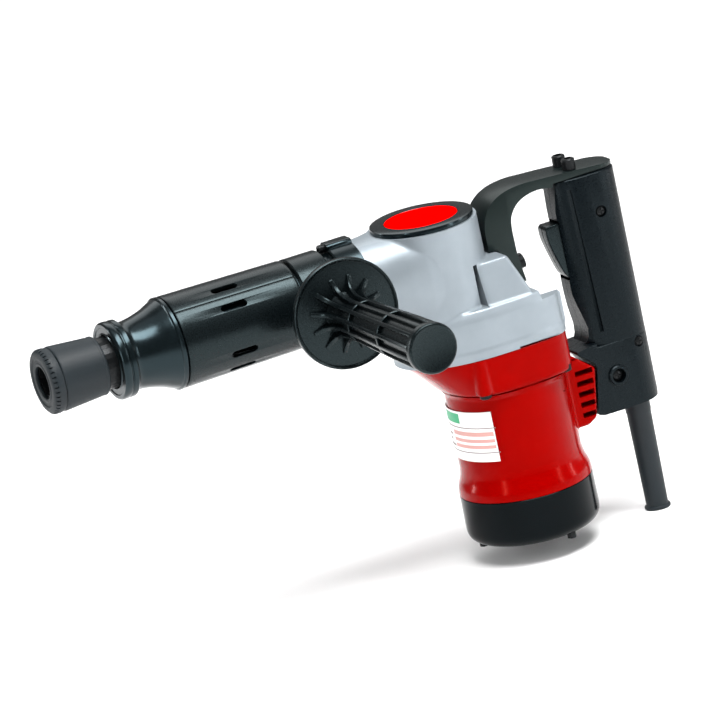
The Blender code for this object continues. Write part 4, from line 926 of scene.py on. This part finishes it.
def floor():
    work = bmesh.new()
    bmesh.ops.create_grid(work, x_segments=1, y_segments=1, size=9.0)
    bmesh.ops.translate(work, vec=(0.0, 0.0, FLOOR_Z * MM), verts=work.verts)
    mesh = bpy.data.meshes.new("studio_floor")
    work.to_mesh(mesh)
    work.free()
    paint = bpy.data.materials.new("matt_white_paint")
    paint.use_nodes = True
    shader = paint.node_tree.nodes["Principled BSDF"]
    shader.inputs["Base Color"].default_value = colour("#f7f7f7")
    shader.inputs["Roughness"].default_value = 0.9
    mesh.materials.append(paint)
    made = bpy.data.objects.new("studio_floor", mesh)
    bpy.context.scene.collection.objects.link(made)


def world():
    """An even white surround and a broad soft sun, for the shadowless fill."""
    surround = bpy.data.worlds.new("studio")
    surround.use_nodes = True
    back = surround.node_tree.nodes["Background"]
    back.inputs["Color"].default_value = colour("#ffffff")
    back.inputs["Strength"].default_value = 0.2
    bpy.context.scene.world = surround
    bpy.context.scene.view_settings.view_transform = "Standard"
    dome = bpy.data.lights.new("soft_dome", "SUN")
    dome.energy = 0.62
    dome.angle = math.radians(60.0)
    sun = bpy.data.objects.new("soft_dome", dome)
    sun.rotation_euler = Vector((0.05, 0.2, -1.0)).to_track_quat("-Z", "Y").to_euler()
    bpy.context.scene.collection.objects.link(sun)


def softbox(name, place, aim, watts, size):
    """A rectangular light, its place, aim and size in metres."""
    data = bpy.data.lights.new(name, "AREA")
    data.shape = "RECTANGLE"
    data.size, data.size_y = size
    data.energy = watts
    lamp = bpy.data.objects.new(name, data)
    lamp.location = place
    lamp.rotation_euler = (Vector(aim) - Vector(place)).to_track_quat("-Z", "Y").to_euler()
    bpy.context.scene.collection.objects.link(lamp)


def lights():
    """One softbox above gives the barrel its sheen, the strips draw its edges, and one lights the floor."""
    body = (-0.1, 0.0, 0.12)
    softbox("overhead_softbox", (0.05, -0.55, 1.55), (-0.15, -0.02, 0.15), 46.0, (1.3, 0.66))
    softbox("left_strip", (-1.6, -0.9, 0.6), body, 9.0, (0.09, 0.9))
    softbox("right_strip", (1.15, -1.3, 0.5), body, 7.0, (0.08, 1.1))
    softbox("left_rim_strip", (-1.4, 1.0, 0.6), body, 9.0, (0.12, 0.9))
    softbox("right_rim_strip", (1.65, -0.6, 0.5), body, 6.0, (0.09, 0.9))
    softbox("backdrop_softbox", (0.6, 1.7, 1.8), (0.45, 1.4, 0.0), 24.0, (2.6, 1.6))


def camera():
    """A long lens on the side grip's side, a little ahead and above, rolled so that the tool leans."""
    azimuth, elevation, roll = (math.radians(v) for v in (-20.986, 15.306, -12.0))
    distance, aim = 5.0, Vector((-90.2, 17.8, 141.2)) * MM
    look = Vector((-math.sin(azimuth) * math.cos(elevation), math.cos(azimuth) * math.cos(elevation),
                   -math.sin(elevation)))
    data = bpy.data.cameras.new("studio_camera")
    data.lens = 407.66
    data.sensor_width = 36.0
    data.clip_end = 40.0
    eye = bpy.data.objects.new("studio_camera", data)
    eye.location = aim - look * distance
    level = look.to_track_quat("-Z", "Y").to_matrix().to_4x4()
    eye.rotation_euler = (level @ Matrix.Rotation(roll, 4, "Z")).to_euler()
    bpy.context.scene.collection.objects.link(eye)
    bpy.context.scene.camera = eye


hammer()
floor()
world()
lights()
camera()
